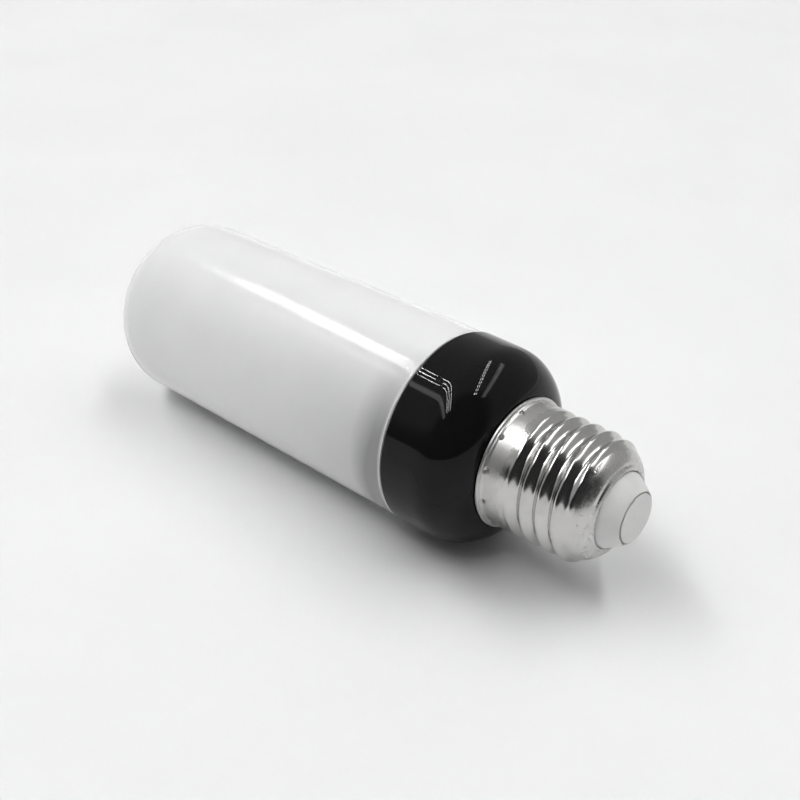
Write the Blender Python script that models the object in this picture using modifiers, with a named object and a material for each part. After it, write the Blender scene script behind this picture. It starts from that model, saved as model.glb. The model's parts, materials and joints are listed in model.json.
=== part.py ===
"""Flame effect LED bulb with an E27 screw cap, lying on its side as it comes to rest.

Every piece is modelled on the bulb's own axis, Z: height 0 is the face of the centre contact,
and heights grow through the cap and the collar to the tip of the diffuser. The empty
bulb_axis then lays the bulb down along X, with its cap towards +X, so that it rests on the
rim of the collar and on the far end of the diffuser.
"""
import math

import bmesh
import bpy
from mathutils import Matrix, Vector

MM = 0.001

# Fits between pieces
FIT = 0.3 * MM
MERGE = 0.00002

# Facets round a turned piece
LARGE_STEPS = 38
CAP_STEPS = 30
SMALL_STEPS = 20
TINY_STEPS = 12
DOME_ROWS = 7
SHOULDER_ROWS = 7

# Overall lengths along the axis
CAP_LENGTH = 27.4 * MM
COLLAR_LENGTH = 18.0 * MM
DIFFUSER_LENGTH = 92.0 * MM

# Diffuser
DIFFUSER_RADIUS = 20.9 * MM
DIFFUSER_DRAFT = 0.0056
DIFFUSER_WALL = 1.5 * MM
DOME_HEIGHT = 13.6 * MM
MOUTH_CHAMFER = 0.3 * MM

# Collar
COLLAR_RIM_PROUD = 0.25 * MM
COLLAR_BODY_PROUD = 0.07 * MM
COLLAR_BODY_LENGTH = 7.5 * MM
COLLAR_EDGE = 0.35 * MM
COLLAR_WALL = 1.8 * MM
SEAT_LEDGE = 0.3 * MM
SPIGOT_HEIGHT = 5.0 * MM
SPIGOT_WALL = 1.5 * MM
SNAP_DEPTH = 0.4 * MM
SNAP_HEIGHT = 3.2 * MM
SNAP_WIDTH = 1.0 * MM
NECK_WALL = 1.5 * MM
NECK_LENGTH = 6.9 * MM
NECK_BEAD_HEIGHT = 0.55 * MM
NECK_BEAD_LENGTH = 0.7 * MM

# Screw shell: the E27 thread is rolled in thin sheet
SHEET = 0.35 * MM
THREAD_PITCH = 3.629 * MM
THREAD_CREST_RADIUS = 13.1 * MM
THREAD_DEPTH = 1.1 * MM
THREAD_CREST_Z = 21.5 * MM
THREAD_ROWS_PER_TURN = 6
THREAD_FADE = 2.4 * MM
SKIRT_LENGTH = 4.6 * MM
SKIRT_PROUD = 0.05 * MM
FLARE_PROUD = 0.65 * MM
FLARE_HEIGHT = 0.8 * MM
NOSE_START_Z = 9.4 * MM
NOSE_BEND_Z = 5.4 * MM
NOSE_BEND_SHARE = 0.832
LIP_Z = 3.9 * MM
LIP_SHARE = 0.618
DIMPLE_COUNT = 12
DIMPLE_RADIUS = 0.75 * MM
DIMPLE_TIP_RADIUS = 0.2 * MM
DIMPLE_DEPTH = 0.8 * MM
DIMPLE_FROM_RIM = 1.3 * MM
DIMPLE_TURN = math.radians(22)

# Insulator and centre contact
CONTACT_SHARE = 0.3855
CONTACT_THICKNESS = 0.45 * MM
CONTACT_EDGE = 0.15 * MM
SHANK_RADIUS = 1.3 * MM
SHANK_LENGTH = 7.1 * MM
INSULATOR_MARGIN = 0.45 * MM
INSULATOR_NECK_HEIGHT = 0.6 * MM
INSULATOR_FLANGE_HEIGHT = 1.8 * MM
INSULATOR_WALL = 1.7 * MM
INSULATOR_FLOOR = 2.2 * MM
INSULATOR_BOSS_RADIUS = 3.1 * MM
INSULATOR_BOSS_HEIGHT = 2.4 * MM

# Column that carries the lamps, and its foot in the collar
COLUMN_WALL = 1.5 * MM
COLUMN_CROWN_GAP = 11.0 * MM
COLUMN_FILLET = 0.6 * MM
FOOT_THICKNESS = 2.0 * MM
FOOT_BELOW_JOINT = 1.4 * MM
FOOT_LEDGE = 6.3 * MM
FOOT_SCREW_INSET = 3.1 * MM
BOSS_RADIUS = 2.9 * MM
WIRE_SLOT_WIDTH = 4.4 * MM
WIRE_SLOT_HEIGHT = 3.0 * MM
WIRE_SLOT_ABOVE_FOOT = 1.5 * MM

# Foot screws
SCREW_SHANK_RADIUS = 1.25 * MM
SCREW_LENGTH = 7.0 * MM
SCREW_HEAD_RADIUS = 2.3 * MM
SCREW_HEAD_HEIGHT = 1.5 * MM
SCREW_POINT = 1.2 * MM
SCREW_SLOT_WIDTH = 0.6 * MM
SCREW_SLOT_DEPTH = 0.7 * MM

# Lamps: packages on the rolled board and on the round top board
FLEX_THICKNESS = 0.4 * MM
FLEX_ABOVE_FOOT = 6.0 * MM
FLEX_SEAM = math.radians(12)
LAMP_COLUMNS = 8
LAMP_ROWS = 12
FLEX_BELOW_TOP = 2.1 * MM
LAMP_LENGTH = 3.5 * MM
LAMP_WIDTH = 2.8 * MM
LAMP_HEIGHT = 0.75 * MM
GAP_SEGMENTS = 2
TOP_BOARD_THICKNESS = 1.0 * MM
TOP_LAMP_COUNT = 6
TOP_LAMP_SHARE = 0.61

# Driver board and what stands on it
BOARD_THICKNESS = 1.6 * MM
BOARD_OFFSET = -1.5 * MM
BOARD_HEAD_MARGIN = 4.6 * MM
BOARD_TAIL_MARGIN = 2.35 * MM
BOARD_BELOW_FOOT = 3.0 * MM
BOARD_TAIL_Z = 11.5 * MM
INPUT_CAN_SHARE = 0.405
INPUT_CAN_LENGTH = 12.0 * MM
INPUT_CAN_X_SHARE = 0.305
OUTPUT_CAN_RADIUS = 3.15 * MM
OUTPUT_CAN_LENGTH = 9.5 * MM
OUTPUT_CAN_X = 5.6 * MM
CAN_CRIMP = 0.3 * MM
CHOKE_RADIUS = 4.2 * MM
CHOKE_LENGTH = 7.6 * MM
CHOKE_FLANGE = 1.1 * MM
CHOKE_WAIST = 1.8 * MM
CHOKE_X = -6.4 * MM
RESISTOR_RADIUS = 1.6 * MM
RESISTOR_LENGTH = 8.0 * MM
RESISTOR_LEAD_RADIUS = 0.35 * MM
RESISTOR_LEAD_LENGTH = 1.7 * MM
RESISTOR_X_SHARE = -0.457
RESISTOR_WAIST = 0.86

# Moulded packages on the back of the board: width, depth and length
BRIDGE_SIZE = (4.0 * MM, 2.4 * MM, 4.7 * MM)
DRIVER_CHIP_SIZE = (4.9 * MM, 1.5 * MM, 3.9 * MM)
FLAME_CHIP_SIZE = (8.6 * MM, 1.5 * MM, 3.9 * MM)
SURFACE_RESISTOR_SIZE = (3.2 * MM, 0.6 * MM, 1.6 * MM)
PACKAGE_EDGE = 0.1
DRIVER_CHIP_X = 5.5 * MM
FLAME_CHIP_X = -4.5 * MM
SURFACE_RESISTOR_X = 3.5 * MM
SURFACE_RESISTOR_RISE = 6.0 * MM

# Wires
LIVE_WIRE_RADIUS = 0.8 * MM
THIN_WIRE_RADIUS = 0.6 * MM
WIRE_BEVEL_ROWS = 2
WIRE_STEP = 1.9 * MM
LIVE_WIRE_SAG = 0.4 * MM
LIVE_WIRE_RUN = 1.4 * MM
NEUTRAL_TURN = -math.atan2(3, 4)
NEUTRAL_PAD_HEIGHT = 6.0 * MM
NEUTRAL_BEND_HEIGHT = 3.5 * MM
NEUTRAL_END_HEIGHT = 1.8 * MM
NEUTRAL_REACH = 0.78
POSITIVE_PAD_SHARE = 0.36
NEGATIVE_PAD_SHARE = 0.65
SUPPLY_LANE = 1.1 * MM
SUPPLY_RISE = 0.8 * MM
SUPPLY_SLOT_APPROACH = 1.2 * MM

# Heights and radii that follow from the sizes above
COLLAR_SEAT_Z = CAP_LENGTH + FIT
JOINT_Z = CAP_LENGTH + COLLAR_LENGTH
TIP_Z = JOINT_Z + DIFFUSER_LENGTH
MOUTH_Z = JOINT_Z + FIT
DOME_Z = TIP_Z - DOME_HEIGHT
DIFFUSER_FAR_RADIUS = DIFFUSER_RADIUS - DIFFUSER_DRAFT * (DOME_Z - JOINT_Z)
COLLAR_RIM_RADIUS = DIFFUSER_RADIUS + COLLAR_RIM_PROUD
COLLAR_BODY_RADIUS = DIFFUSER_RADIUS + COLLAR_BODY_PROUD
SPIGOT_RADIUS = DIFFUSER_RADIUS - DIFFUSER_WALL - FIT
COLLAR_BORE = SPIGOT_RADIUS - SPIGOT_WALL
SHOULDER_Z = JOINT_Z - COLLAR_BODY_LENGTH
SKIRT_RADIUS = THREAD_CREST_RADIUS + SKIRT_PROUD
FLARE_RADIUS = SKIRT_RADIUS + FLARE_PROUD
SHOULDER_DROP = SHOULDER_Z - COLLAR_SEAT_Z
SHOULDER_REACH = COLLAR_BODY_RADIUS - FLARE_RADIUS - SEAT_LEDGE
SHOULDER_RADIUS = (SHOULDER_DROP**2 + SHOULDER_REACH**2) / (2 * SHOULDER_REACH)
SHOULDER_CENTRE = COLLAR_BODY_RADIUS - SHOULDER_RADIUS
CAVITY_RADIUS = SHOULDER_RADIUS - COLLAR_WALL
COLLAR_FLOOR_Z = COLLAR_SEAT_Z + COLLAR_WALL
NECK_RADIUS = THREAD_CREST_RADIUS - THREAD_DEPTH - SHEET - FIT
NECK_BORE = NECK_RADIUS - NECK_WALL
NECK_END_Z = COLLAR_SEAT_Z - NECK_LENGTH
NOSE_BEND_RADIUS = NOSE_BEND_SHARE * THREAD_CREST_RADIUS
LIP_RADIUS = LIP_SHARE * THREAD_CREST_RADIUS
CONTACT_RADIUS = CONTACT_SHARE * THREAD_CREST_RADIUS
INSULATOR_END_RADIUS = CONTACT_RADIUS + INSULATOR_MARGIN
DIMPLE_Z = CAP_LENGTH - DIMPLE_FROM_RIM
THREAD_TOP_Z = CAP_LENGTH - SKIRT_LENGTH
FOOT_Z = JOINT_Z - FOOT_BELOW_JOINT
FOOT_TOP_Z = FOOT_Z + FOOT_THICKNESS
FOOT_RADIUS = COLLAR_BORE - FIT
FOOT_SCREW_RADIUS = FOOT_RADIUS - FOOT_SCREW_INSET
COLUMN_RADIUS = FOOT_RADIUS - FOOT_LEDGE
COLUMN_TOP_Z = TIP_Z - DIFFUSER_WALL - COLUMN_CROWN_GAP
FLEX_Z = FOOT_TOP_Z + FLEX_ABOVE_FOOT
LAMP_PITCH = (COLUMN_TOP_Z - FLEX_BELOW_TOP - FLEX_Z) / LAMP_ROWS
TOP_LAMP_CIRCLE = TOP_LAMP_SHARE * COLUMN_RADIUS
BOARD_TOP_Z = FOOT_Z - BOARD_BELOW_FOOT
BOARD_FRONT = BOARD_OFFSET + BOARD_THICKNESS / 2
BOARD_BACK = BOARD_OFFSET - BOARD_THICKNESS / 2
BOARD_HEAD_WIDTH = 2 * (COLLAR_BORE - BOARD_HEAD_MARGIN)
BOARD_TAIL_WIDTH = 2 * (NECK_BORE - BOARD_TAIL_MARGIN)
INPUT_CAN_RADIUS = INPUT_CAN_SHARE * NECK_BORE
INPUT_CAN_X = INPUT_CAN_X_SHARE * NECK_BORE
RESISTOR_X = RESISTOR_X_SHARE * NECK_BORE
HALF_FACET = math.pi / LARGE_STEPS


def empty_scene():
    """Remove every object, so that the file holds the bulb alone."""
    for item in list(bpy.data.objects):
        bpy.data.objects.remove(item, do_unlink=True)


def new_collection(name):
    """Add a collection to the scene."""
    collection = bpy.data.collections.new(name)
    bpy.context.scene.collection.children.link(collection)
    return collection


def finish(name, colour, roughness, metallic=0.0):
    """Make a Principled material."""
    material = bpy.data.materials.new(name)
    material.use_nodes = True
    shader = material.node_tree.nodes["Principled BSDF"]
    shader.inputs["Base Color"].default_value = (*colour, 1.0)
    shader.inputs["Roughness"].default_value = roughness
    shader.inputs["Metallic"].default_value = metallic
    material.diffuse_color = (*colour, 1.0)
    return material


class Workshop:
    """Adds pieces to the bulb's collection and cutters to their own, all on the bulb's axis."""

    def __init__(self):
        self.parts = new_collection("flame_effect_led_bulb")
        self.cutters = new_collection("cutters")
        self.axis = bpy.data.objects.new("bulb_axis", None)
        self.parts.objects.link(self.axis)

    def add(self, name, data, material, place=None):
        """Link a new piece, with its material, at its place on the bulb's axis."""
        item = bpy.data.objects.new(name, data)
        data.materials.append(material)
        self.parts.objects.link(item)
        item.parent = self.axis
        item.matrix_local = place or Matrix()
        return item

    def cutter(self, name, mesh, place=None):
        """Link a shape that only cuts or joins, and never shows."""
        item = bpy.data.objects.new(name, mesh)
        self.cutters.objects.link(item)
        item.parent = self.axis
        item.matrix_local = place or Matrix()
        item.hide_render = True
        item.display_type = "WIRE"
        return item


def combine(item, other, operation):
    """Give a piece a live Boolean with a cutter."""
    boolean = item.modifiers.new(other.name, "BOOLEAN")
    boolean.operation = operation
    boolean.object = other
    boolean.solver = "EXACT"


def shade(mesh, angle=math.radians(32)):
    """Shade a mesh smooth, apart from its sharp edges."""
    mesh.shade_smooth()
    mesh.set_sharp_from_angle(angle=angle)


def baked(item):
    """Turn an unlinked object with modifiers into a plain mesh."""
    scene = bpy.context.scene.collection
    scene.objects.link(item)
    bpy.context.view_layer.update()
    graph = bpy.context.evaluated_depsgraph_get()
    mesh = bpy.data.meshes.new_from_object(item.evaluated_get(graph))
    bpy.data.objects.remove(item, do_unlink=True)
    shade(mesh)
    return mesh


def turned(name, profile, steps, closed=False):
    """Turn a profile of (radius, height) points, given down the outer side, round Z."""
    mesh = bpy.data.meshes.new(name)
    corners = [(radius, 0.0, height) for radius, height in profile]
    edges = [(index, index + 1) for index in range(len(corners) - 1)]
    if closed:
        edges.append((len(corners) - 1, 0))
    mesh.from_pydata(corners, edges, [])
    item = bpy.data.objects.new(name, mesh)
    screw = item.modifiers.new("turn", "SCREW")
    screw.axis = "Z"
    screw.angle = math.tau
    screw.steps = steps
    screw.render_steps = steps
    screw.use_merge_vertices = True
    screw.merge_threshold = MERGE
    return baked(item)


def arc(centre, radius, start, end, rows):
    """Points on a circle in the (radius, height) plane, between two angles in degrees."""
    points = []
    for row in range(rows + 1):
        angle = math.radians(start + (end - start) * row / rows)
        points.append((centre[0] + radius * math.cos(angle), centre[1] + radius * math.sin(angle)))
    return points


def mesh_from(name, build):
    """Make a mesh with a function that fills a BMesh."""
    shape = bmesh.new()
    build(shape)
    mesh = bpy.data.meshes.new(name)
    shape.to_mesh(mesh)
    shape.free()
    return mesh


def box_mesh(name, size, edge=0.0):
    """A box about its centre, with its edges rounded off by one flat."""
    def build(shape):
        bmesh.ops.create_cube(shape, size=1.0, matrix=Matrix.Diagonal((*size, 1.0)))
        if edge > 0.0:
            bmesh.ops.bevel(shape, geom=shape.edges, offset=edge, segments=1, affect="EDGES")
    return mesh_from(name, build)


def smoothstep(low, high, value):
    """Share of the way from one value to another, eased in and out at both ends."""
    share = min(max((value - low) / (high - low), 0.0), 1.0)
    return share * share * (3.0 - 2.0 * share)


def diffuser_mesh():
    """Opal cup: a drafted tube with an elliptical dome, open at its mouth."""
    inner_far = DIFFUSER_FAR_RADIUS - DIFFUSER_WALL
    bore = DIFFUSER_RADIUS - DIFFUSER_WALL
    groove_z = JOINT_Z + SNAP_HEIGHT
    profile = []
    for row in range(DOME_ROWS + 1):
        turn = math.pi / 2 * row / DOME_ROWS
        profile.append((DIFFUSER_FAR_RADIUS * math.sin(turn), DOME_Z + DOME_HEIGHT * math.cos(turn)))
    profile += [
        (DIFFUSER_RADIUS, MOUTH_Z + MOUTH_CHAMFER),
        (DIFFUSER_RADIUS - MOUTH_CHAMFER, MOUTH_Z),
        (bore, MOUTH_Z),
        (bore, groove_z - SNAP_WIDTH),
        (bore + SNAP_DEPTH, groove_z - SNAP_WIDTH / 2),
        (bore + SNAP_DEPTH, groove_z + SNAP_WIDTH / 2),
        (bore, groove_z + SNAP_WIDTH),
    ]
    for row in range(DOME_ROWS, -1, -1):
        turn = math.pi / 2 * row / DOME_ROWS
        height = DOME_Z + (DOME_HEIGHT - DIFFUSER_WALL) * math.cos(turn)
        profile.append((inner_far * math.sin(turn), height))
    return turned("diffuser", profile, LARGE_STEPS)


def collar_blank_mesh():
    """Outside of the collar: spigot with its snap bead, rim, round shoulder and neck."""
    bead_z = JOINT_Z + SNAP_HEIGHT
    spigot_z = JOINT_Z + SPIGOT_HEIGHT
    seat_turn = -math.degrees(math.asin(SHOULDER_DROP / SHOULDER_RADIUS))
    neck_bead_z = DIMPLE_Z - DIMPLE_RADIUS - FIT
    profile = [
        (0.0, spigot_z),
        (SPIGOT_RADIUS - COLLAR_EDGE, spigot_z),
        (SPIGOT_RADIUS, spigot_z - COLLAR_EDGE),
        (SPIGOT_RADIUS, bead_z + SNAP_WIDTH / 2),
        (SPIGOT_RADIUS + SNAP_DEPTH, bead_z + SNAP_WIDTH / 6),
        (SPIGOT_RADIUS + SNAP_DEPTH, bead_z - SNAP_WIDTH / 6),
        (SPIGOT_RADIUS, bead_z - SNAP_WIDTH / 2),
        (SPIGOT_RADIUS, JOINT_Z),
        (COLLAR_RIM_RADIUS - COLLAR_EDGE, JOINT_Z),
        (COLLAR_RIM_RADIUS, JOINT_Z - COLLAR_EDGE),
    ]
    profile += arc((SHOULDER_CENTRE, SHOULDER_Z), SHOULDER_RADIUS, 0.0, seat_turn, SHOULDER_ROWS)
    profile += [
        (NECK_RADIUS, COLLAR_SEAT_Z),
        (NECK_RADIUS, neck_bead_z),
        (NECK_RADIUS + NECK_BEAD_HEIGHT, neck_bead_z),
        (NECK_RADIUS + NECK_BEAD_HEIGHT, neck_bead_z - NECK_BEAD_LENGTH / 2),
        (NECK_RADIUS, neck_bead_z - NECK_BEAD_LENGTH),
        (NECK_RADIUS, NECK_END_Z),
        (0.0, NECK_END_Z),
    ]
    return turned("collar", profile, LARGE_STEPS)


def cavity_mesh():
    """Inside of the collar, from above its spigot to below its neck."""
    above = JOINT_Z + SPIGOT_HEIGHT + FIT
    below = NECK_END_Z - FIT
    top_turn = -math.degrees(math.acos((COLLAR_BORE - SHOULDER_CENTRE) / CAVITY_RADIUS))
    floor_turn = -math.degrees(math.asin((SHOULDER_Z - COLLAR_FLOOR_Z) / CAVITY_RADIUS))
    profile = [(0.0, above), (COLLAR_BORE, above)]
    profile += arc((SHOULDER_CENTRE, SHOULDER_Z), CAVITY_RADIUS, top_turn, floor_turn, SHOULDER_ROWS - 3)
    profile += [(NECK_BORE, COLLAR_FLOOR_Z), (NECK_BORE, below), (0.0, below)]
    return turned("collar_cavity", profile, LARGE_STEPS)


def rod_pair_mesh(name, radius, low, high, steps):
    """Two upright rods, one at each foot screw."""
    def build(shape):
        for side in (-1, 1):
            place = Matrix.Translation((0.0, side * FOOT_SCREW_RADIUS, (low + high) / 2))
            bmesh.ops.create_cone(shape, cap_ends=True, segments=steps, radius1=radius,
                                  radius2=radius, depth=high - low, matrix=place)
    return mesh_from(name, build)


def make_collar(shop, black):
    """Collar: the turned blank, hollowed by a cavity that leaves two screw bosses standing."""
    boss_top = FOOT_Z - FIT
    hole_low = boss_top - SCREW_LENGTH + FOOT_THICKNESS - FIT
    on_a_flat = Matrix.Rotation(HALF_FACET, 4, "Z")
    collar = shop.add("collar", collar_blank_mesh(), black, on_a_flat)
    cavity = shop.cutter("collar_cavity", cavity_mesh(), on_a_flat)
    bosses = shop.cutter("boss_posts", rod_pair_mesh("boss_posts", BOSS_RADIUS, NECK_END_Z, boss_top,
                                                     TINY_STEPS))
    holes = shop.cutter("boss_holes", rod_pair_mesh("boss_holes", SCREW_SHANK_RADIUS + FIT, hole_low,
                                                    boss_top + FIT, TINY_STEPS))
    combine(cavity, bosses, "DIFFERENCE")
    combine(collar, cavity, "DIFFERENCE")
    combine(collar, holes, "DIFFERENCE")
    return collar


def nose_radius(height):
    """Radius of the shell without its thread: skirt, thread crests, shoulder, bend and lip."""
    if height >= CAP_LENGTH - FLARE_HEIGHT:
        return SKIRT_RADIUS + (FLARE_RADIUS - SKIRT_RADIUS) * smoothstep(
            CAP_LENGTH - FLARE_HEIGHT, CAP_LENGTH, height)
    if height >= THREAD_TOP_Z:
        return SKIRT_RADIUS
    if height >= NOSE_START_Z:
        return THREAD_CREST_RADIUS
    if height >= NOSE_BEND_Z:
        share = (NOSE_START_Z - height) / (NOSE_START_Z - NOSE_BEND_Z)
        return THREAD_CREST_RADIUS - (THREAD_CREST_RADIUS - NOSE_BEND_RADIUS) * share ** 1.25
    share = (NOSE_BEND_Z - height) / (NOSE_BEND_Z - LIP_Z)
    return NOSE_BEND_RADIUS + (LIP_RADIUS - NOSE_BEND_RADIUS) * share


def shell_radius(height, turn):
    """Radius of the shell's outer face: its nose radius less the depth of the thread there.

    The thread is a right-hand helix. Its crests lie where the height, less one pitch for each
    turn, is a whole number of pitches from THREAD_CREST_Z, and it fades out at both ends.
    """
    wave = math.cos(math.tau * ((height - THREAD_CREST_Z) / THREAD_PITCH - turn / math.tau))
    fade = smoothstep(THREAD_TOP_Z, THREAD_TOP_Z - THREAD_FADE, height)
    fade *= smoothstep(NOSE_BEND_Z + THREAD_FADE, NOSE_START_Z + THREAD_FADE, height)
    return nose_radius(height) - THREAD_DEPTH * fade * (1.0 - wave) / 2


def shell_heights():
    """Heights of the rows of the shell's grid, from its rim to its lip."""
    flare = [CAP_LENGTH - FLARE_HEIGHT * share for share in (0.0, 0.35, 0.7, 1.0)]
    thread_end = NOSE_BEND_Z + THREAD_FADE / 3
    rows = round((THREAD_TOP_Z - thread_end) / THREAD_PITCH * THREAD_ROWS_PER_TURN)
    thread = [THREAD_TOP_Z + (thread_end - THREAD_TOP_Z) * row / rows for row in range(rows + 1)]
    bend = NOSE_BEND_Z - LIP_Z
    nose = [NOSE_BEND_Z + bend * 0.12, NOSE_BEND_Z - bend * 0.12, NOSE_BEND_Z - bend * 0.5, LIP_Z]
    return flare + thread + nose


def shell_surface():
    """The shell's outer face, as a grid of rows round the axis, with the rolled thread in it."""
    heights = shell_heights()
    corners = []
    for height in heights:
        for column in range(CAP_STEPS):
            turn = math.tau * column / CAP_STEPS
            radius = shell_radius(height, turn)
            corners.append((radius * math.cos(turn), radius * math.sin(turn), height))
    faces = []
    for row in range(len(heights) - 1):
        for column in range(CAP_STEPS):
            after = (column + 1) % CAP_STEPS
            upper, lower = row * CAP_STEPS, (row + 1) * CAP_STEPS
            faces.append((upper + column, lower + column, lower + after, upper + after))
    mesh = bpy.data.meshes.new("screw_shell")
    mesh.from_pydata(corners, [], faces)
    shade(mesh)
    return mesh


def punch_mesh(name, outer, inner, radius, tip):
    """Twelve radial cones round the skirt, narrowing inwards."""
    def build(shape):
        for index in range(DIMPLE_COUNT):
            turn = DIMPLE_TURN + math.tau * index / DIMPLE_COUNT
            outwards = Matrix.Translation(((outer + inner) / 2, 0.0, DIMPLE_Z))
            place = Matrix.Rotation(turn, 4, "Z") @ outwards @ Matrix.Rotation(math.pi / 2, 4, "Y")
            bmesh.ops.create_cone(shape, cap_ends=True, segments=6, radius1=tip, radius2=radius,
                                  depth=outer - inner, matrix=place)
    return mesh_from(name, build)


def make_screw_shell(shop, nickel):
    """Screw shell: threaded sheet with a flared rim, punched inwards behind the neck's bead."""
    shell = shop.add("screw_shell", shell_surface(), nickel)
    sheet = shell.modifiers.new("sheet", "SOLIDIFY")
    sheet.thickness = SHEET
    sheet.offset = -1.0
    sheet.use_even_offset = True
    inside = SKIRT_RADIUS - SHEET
    bumps = shop.cutter("punch_bumps", punch_mesh(
        "punch_bumps", inside + SHEET / 2, inside - DIMPLE_DEPTH, DIMPLE_RADIUS + SHEET,
        DIMPLE_TIP_RADIUS + SHEET / 2))
    pits = shop.cutter("punch_pits", punch_mesh(
        "punch_pits", SKIRT_RADIUS + SHEET, SKIRT_RADIUS - DIMPLE_DEPTH, DIMPLE_RADIUS,
        DIMPLE_TIP_RADIUS))
    combine(shell, bumps, "UNION")
    combine(shell, pits, "DIFFERENCE")
    return shell


def lip_inside(radius, offset):
    """Height above the sloping lip at a radius, at a distance square to the lip's outer face."""
    slope = (NOSE_BEND_Z - LIP_Z) / (NOSE_BEND_RADIUS - LIP_RADIUS)
    return LIP_Z + (radius - LIP_RADIUS) * slope + offset * math.hypot(1.0, slope)


def insulator_mesh():
    """White cone through the shell's lip, with a flange behind the lip and a boss for the shank."""
    end_z = CONTACT_THICKNESS + FIT
    neck = LIP_RADIUS - SHEET - FIT
    flange = NOSE_BEND_RADIUS - SHEET - 2 * FIT
    behind = SHEET + FIT
    top = lip_inside(flange, behind) + INSULATOR_FLANGE_HEIGHT
    floor = end_z + INSULATOR_FLOOR
    hole = SHANK_RADIUS + FIT
    profile = [
        (flange, top),
        (flange, lip_inside(flange, behind)),
        (neck, lip_inside(neck, behind)),
        (neck, LIP_Z - INSULATOR_NECK_HEIGHT),
        (INSULATOR_END_RADIUS, end_z),
        (hole, end_z),
        (hole, floor + INSULATOR_BOSS_HEIGHT),
        (INSULATOR_BOSS_RADIUS, floor + INSULATOR_BOSS_HEIGHT),
        (INSULATOR_BOSS_RADIUS, floor),
        (INSULATOR_END_RADIUS - INSULATOR_WALL / 3, floor),
        (flange - INSULATOR_WALL, lip_inside(flange, behind)),
        (flange - INSULATOR_WALL, top),
    ]
    return turned("cap_insulator", profile, CAP_STEPS, closed=True)


def contact_mesh():
    """Round contact with a shank through the insulator."""
    top = CONTACT_THICKNESS + SHANK_LENGTH
    profile = [
        (0.0, top),
        (SHANK_RADIUS - CONTACT_EDGE, top),
        (SHANK_RADIUS, top - CONTACT_EDGE),
        (SHANK_RADIUS, CONTACT_THICKNESS),
        (CONTACT_RADIUS, CONTACT_THICKNESS),
        (CONTACT_RADIUS, CONTACT_EDGE),
        (CONTACT_RADIUS - CONTACT_EDGE, 0.0),
        (0.0, 0.0),
    ]
    return turned("centre_contact", profile, SMALL_STEPS)


def make_column(shop, white):
    """Column: a tube on a flanged foot, with screw holes and a slot for the supply wires."""
    profile = [
        (COLUMN_RADIUS, COLUMN_TOP_Z),
        (COLUMN_RADIUS, FOOT_TOP_Z + COLUMN_FILLET),
        (COLUMN_RADIUS + COLUMN_FILLET, FOOT_TOP_Z),
        (FOOT_RADIUS, FOOT_TOP_Z),
        (FOOT_RADIUS, FOOT_Z),
        (COLUMN_RADIUS - COLUMN_WALL, FOOT_Z),
        (COLUMN_RADIUS - COLUMN_WALL, COLUMN_TOP_Z),
    ]
    column = shop.add("led_column", turned("led_column", profile, CAP_STEPS, closed=True), white)
    holes = shop.cutter("foot_holes", rod_pair_mesh("foot_holes", SCREW_SHANK_RADIUS + FIT,
                                                    FOOT_Z - FIT, FOOT_TOP_Z + FIT, TINY_STEPS))
    slot_z = FOOT_TOP_Z + WIRE_SLOT_ABOVE_FOOT + WIRE_SLOT_HEIGHT / 2
    slot = shop.cutter("wire_slot",
                       box_mesh("wire_slot", (COLUMN_WALL * 3, WIRE_SLOT_WIDTH, WIRE_SLOT_HEIGHT)),
                       Matrix.Translation((COLUMN_RADIUS - COLUMN_WALL / 2, 0.0, slot_z)))
    combine(column, holes, "DIFFERENCE")
    combine(column, slot, "DIFFERENCE")
    return column


def make_foot_screws(shop, steel):
    """Two slotted self-tapping screws, down through the foot into the collar's bosses."""
    head_z = FIT + SCREW_HEAD_HEIGHT
    tip_z = -SCREW_LENGTH
    profile = [
        (0.0, head_z),
        (SCREW_HEAD_RADIUS * 0.7, head_z),
        (SCREW_HEAD_RADIUS, FIT + SCREW_HEAD_HEIGHT * 0.4),
        (SCREW_HEAD_RADIUS, FIT),
        (SCREW_SHANK_RADIUS, FIT),
        (SCREW_SHANK_RADIUS, tip_z + SCREW_POINT),
        (0.0, tip_z),
    ]
    mesh = turned("foot_screw", profile, TINY_STEPS)
    slot_mesh = box_mesh("screw_slot", (SCREW_HEAD_RADIUS * 3, SCREW_SLOT_WIDTH, SCREW_SLOT_DEPTH * 2))
    for number, side in ((1, -1), (2, 1)):
        spot = Vector((0.0, side * FOOT_SCREW_RADIUS, FOOT_TOP_Z))
        screw = shop.add(f"foot_screw_{number}", mesh.copy(), steel, Matrix.Translation(spot))
        slot = shop.cutter(f"screw_slot_{number}", slot_mesh,
                           Matrix.Translation(spot + Vector((0.0, 0.0, head_z))))
        combine(screw, slot, "DIFFERENCE")


def flex_stations():
    """Widths across the unrolled board: lamp, gap, lamp, gap, from one side of its seam on."""
    around = (math.tau - FLEX_SEAM) * (COLUMN_RADIUS + FIT)
    gap = (around - LAMP_COLUMNS * LAMP_WIDTH) / LAMP_COLUMNS
    stations = [(0.0, False)]
    across = gap / 2
    for column in range(LAMP_COLUMNS):
        stations.append((across, True))
        across += LAMP_WIDTH
        pieces = GAP_SEGMENTS if column < LAMP_COLUMNS - 1 else 1
        width = gap if column < LAMP_COLUMNS - 1 else gap / 2
        for piece in range(pieces):
            stations.append((across + width * piece / pieces, False))
        across += width
    stations.append((around, False))
    return stations


def flex_rows():
    """Heights along the board: lamp, gap, lamp, gap, with half a gap at each end."""
    gap = LAMP_PITCH - LAMP_LENGTH
    rows = [(0.0, False)]
    for row in range(LAMP_ROWS):
        rows.append((gap / 2 + LAMP_PITCH * row, True))
        rows.append((gap / 2 + LAMP_PITCH * row + LAMP_LENGTH, False))
    rows.append((LAMP_PITCH * LAMP_ROWS, False))
    return rows


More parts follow.
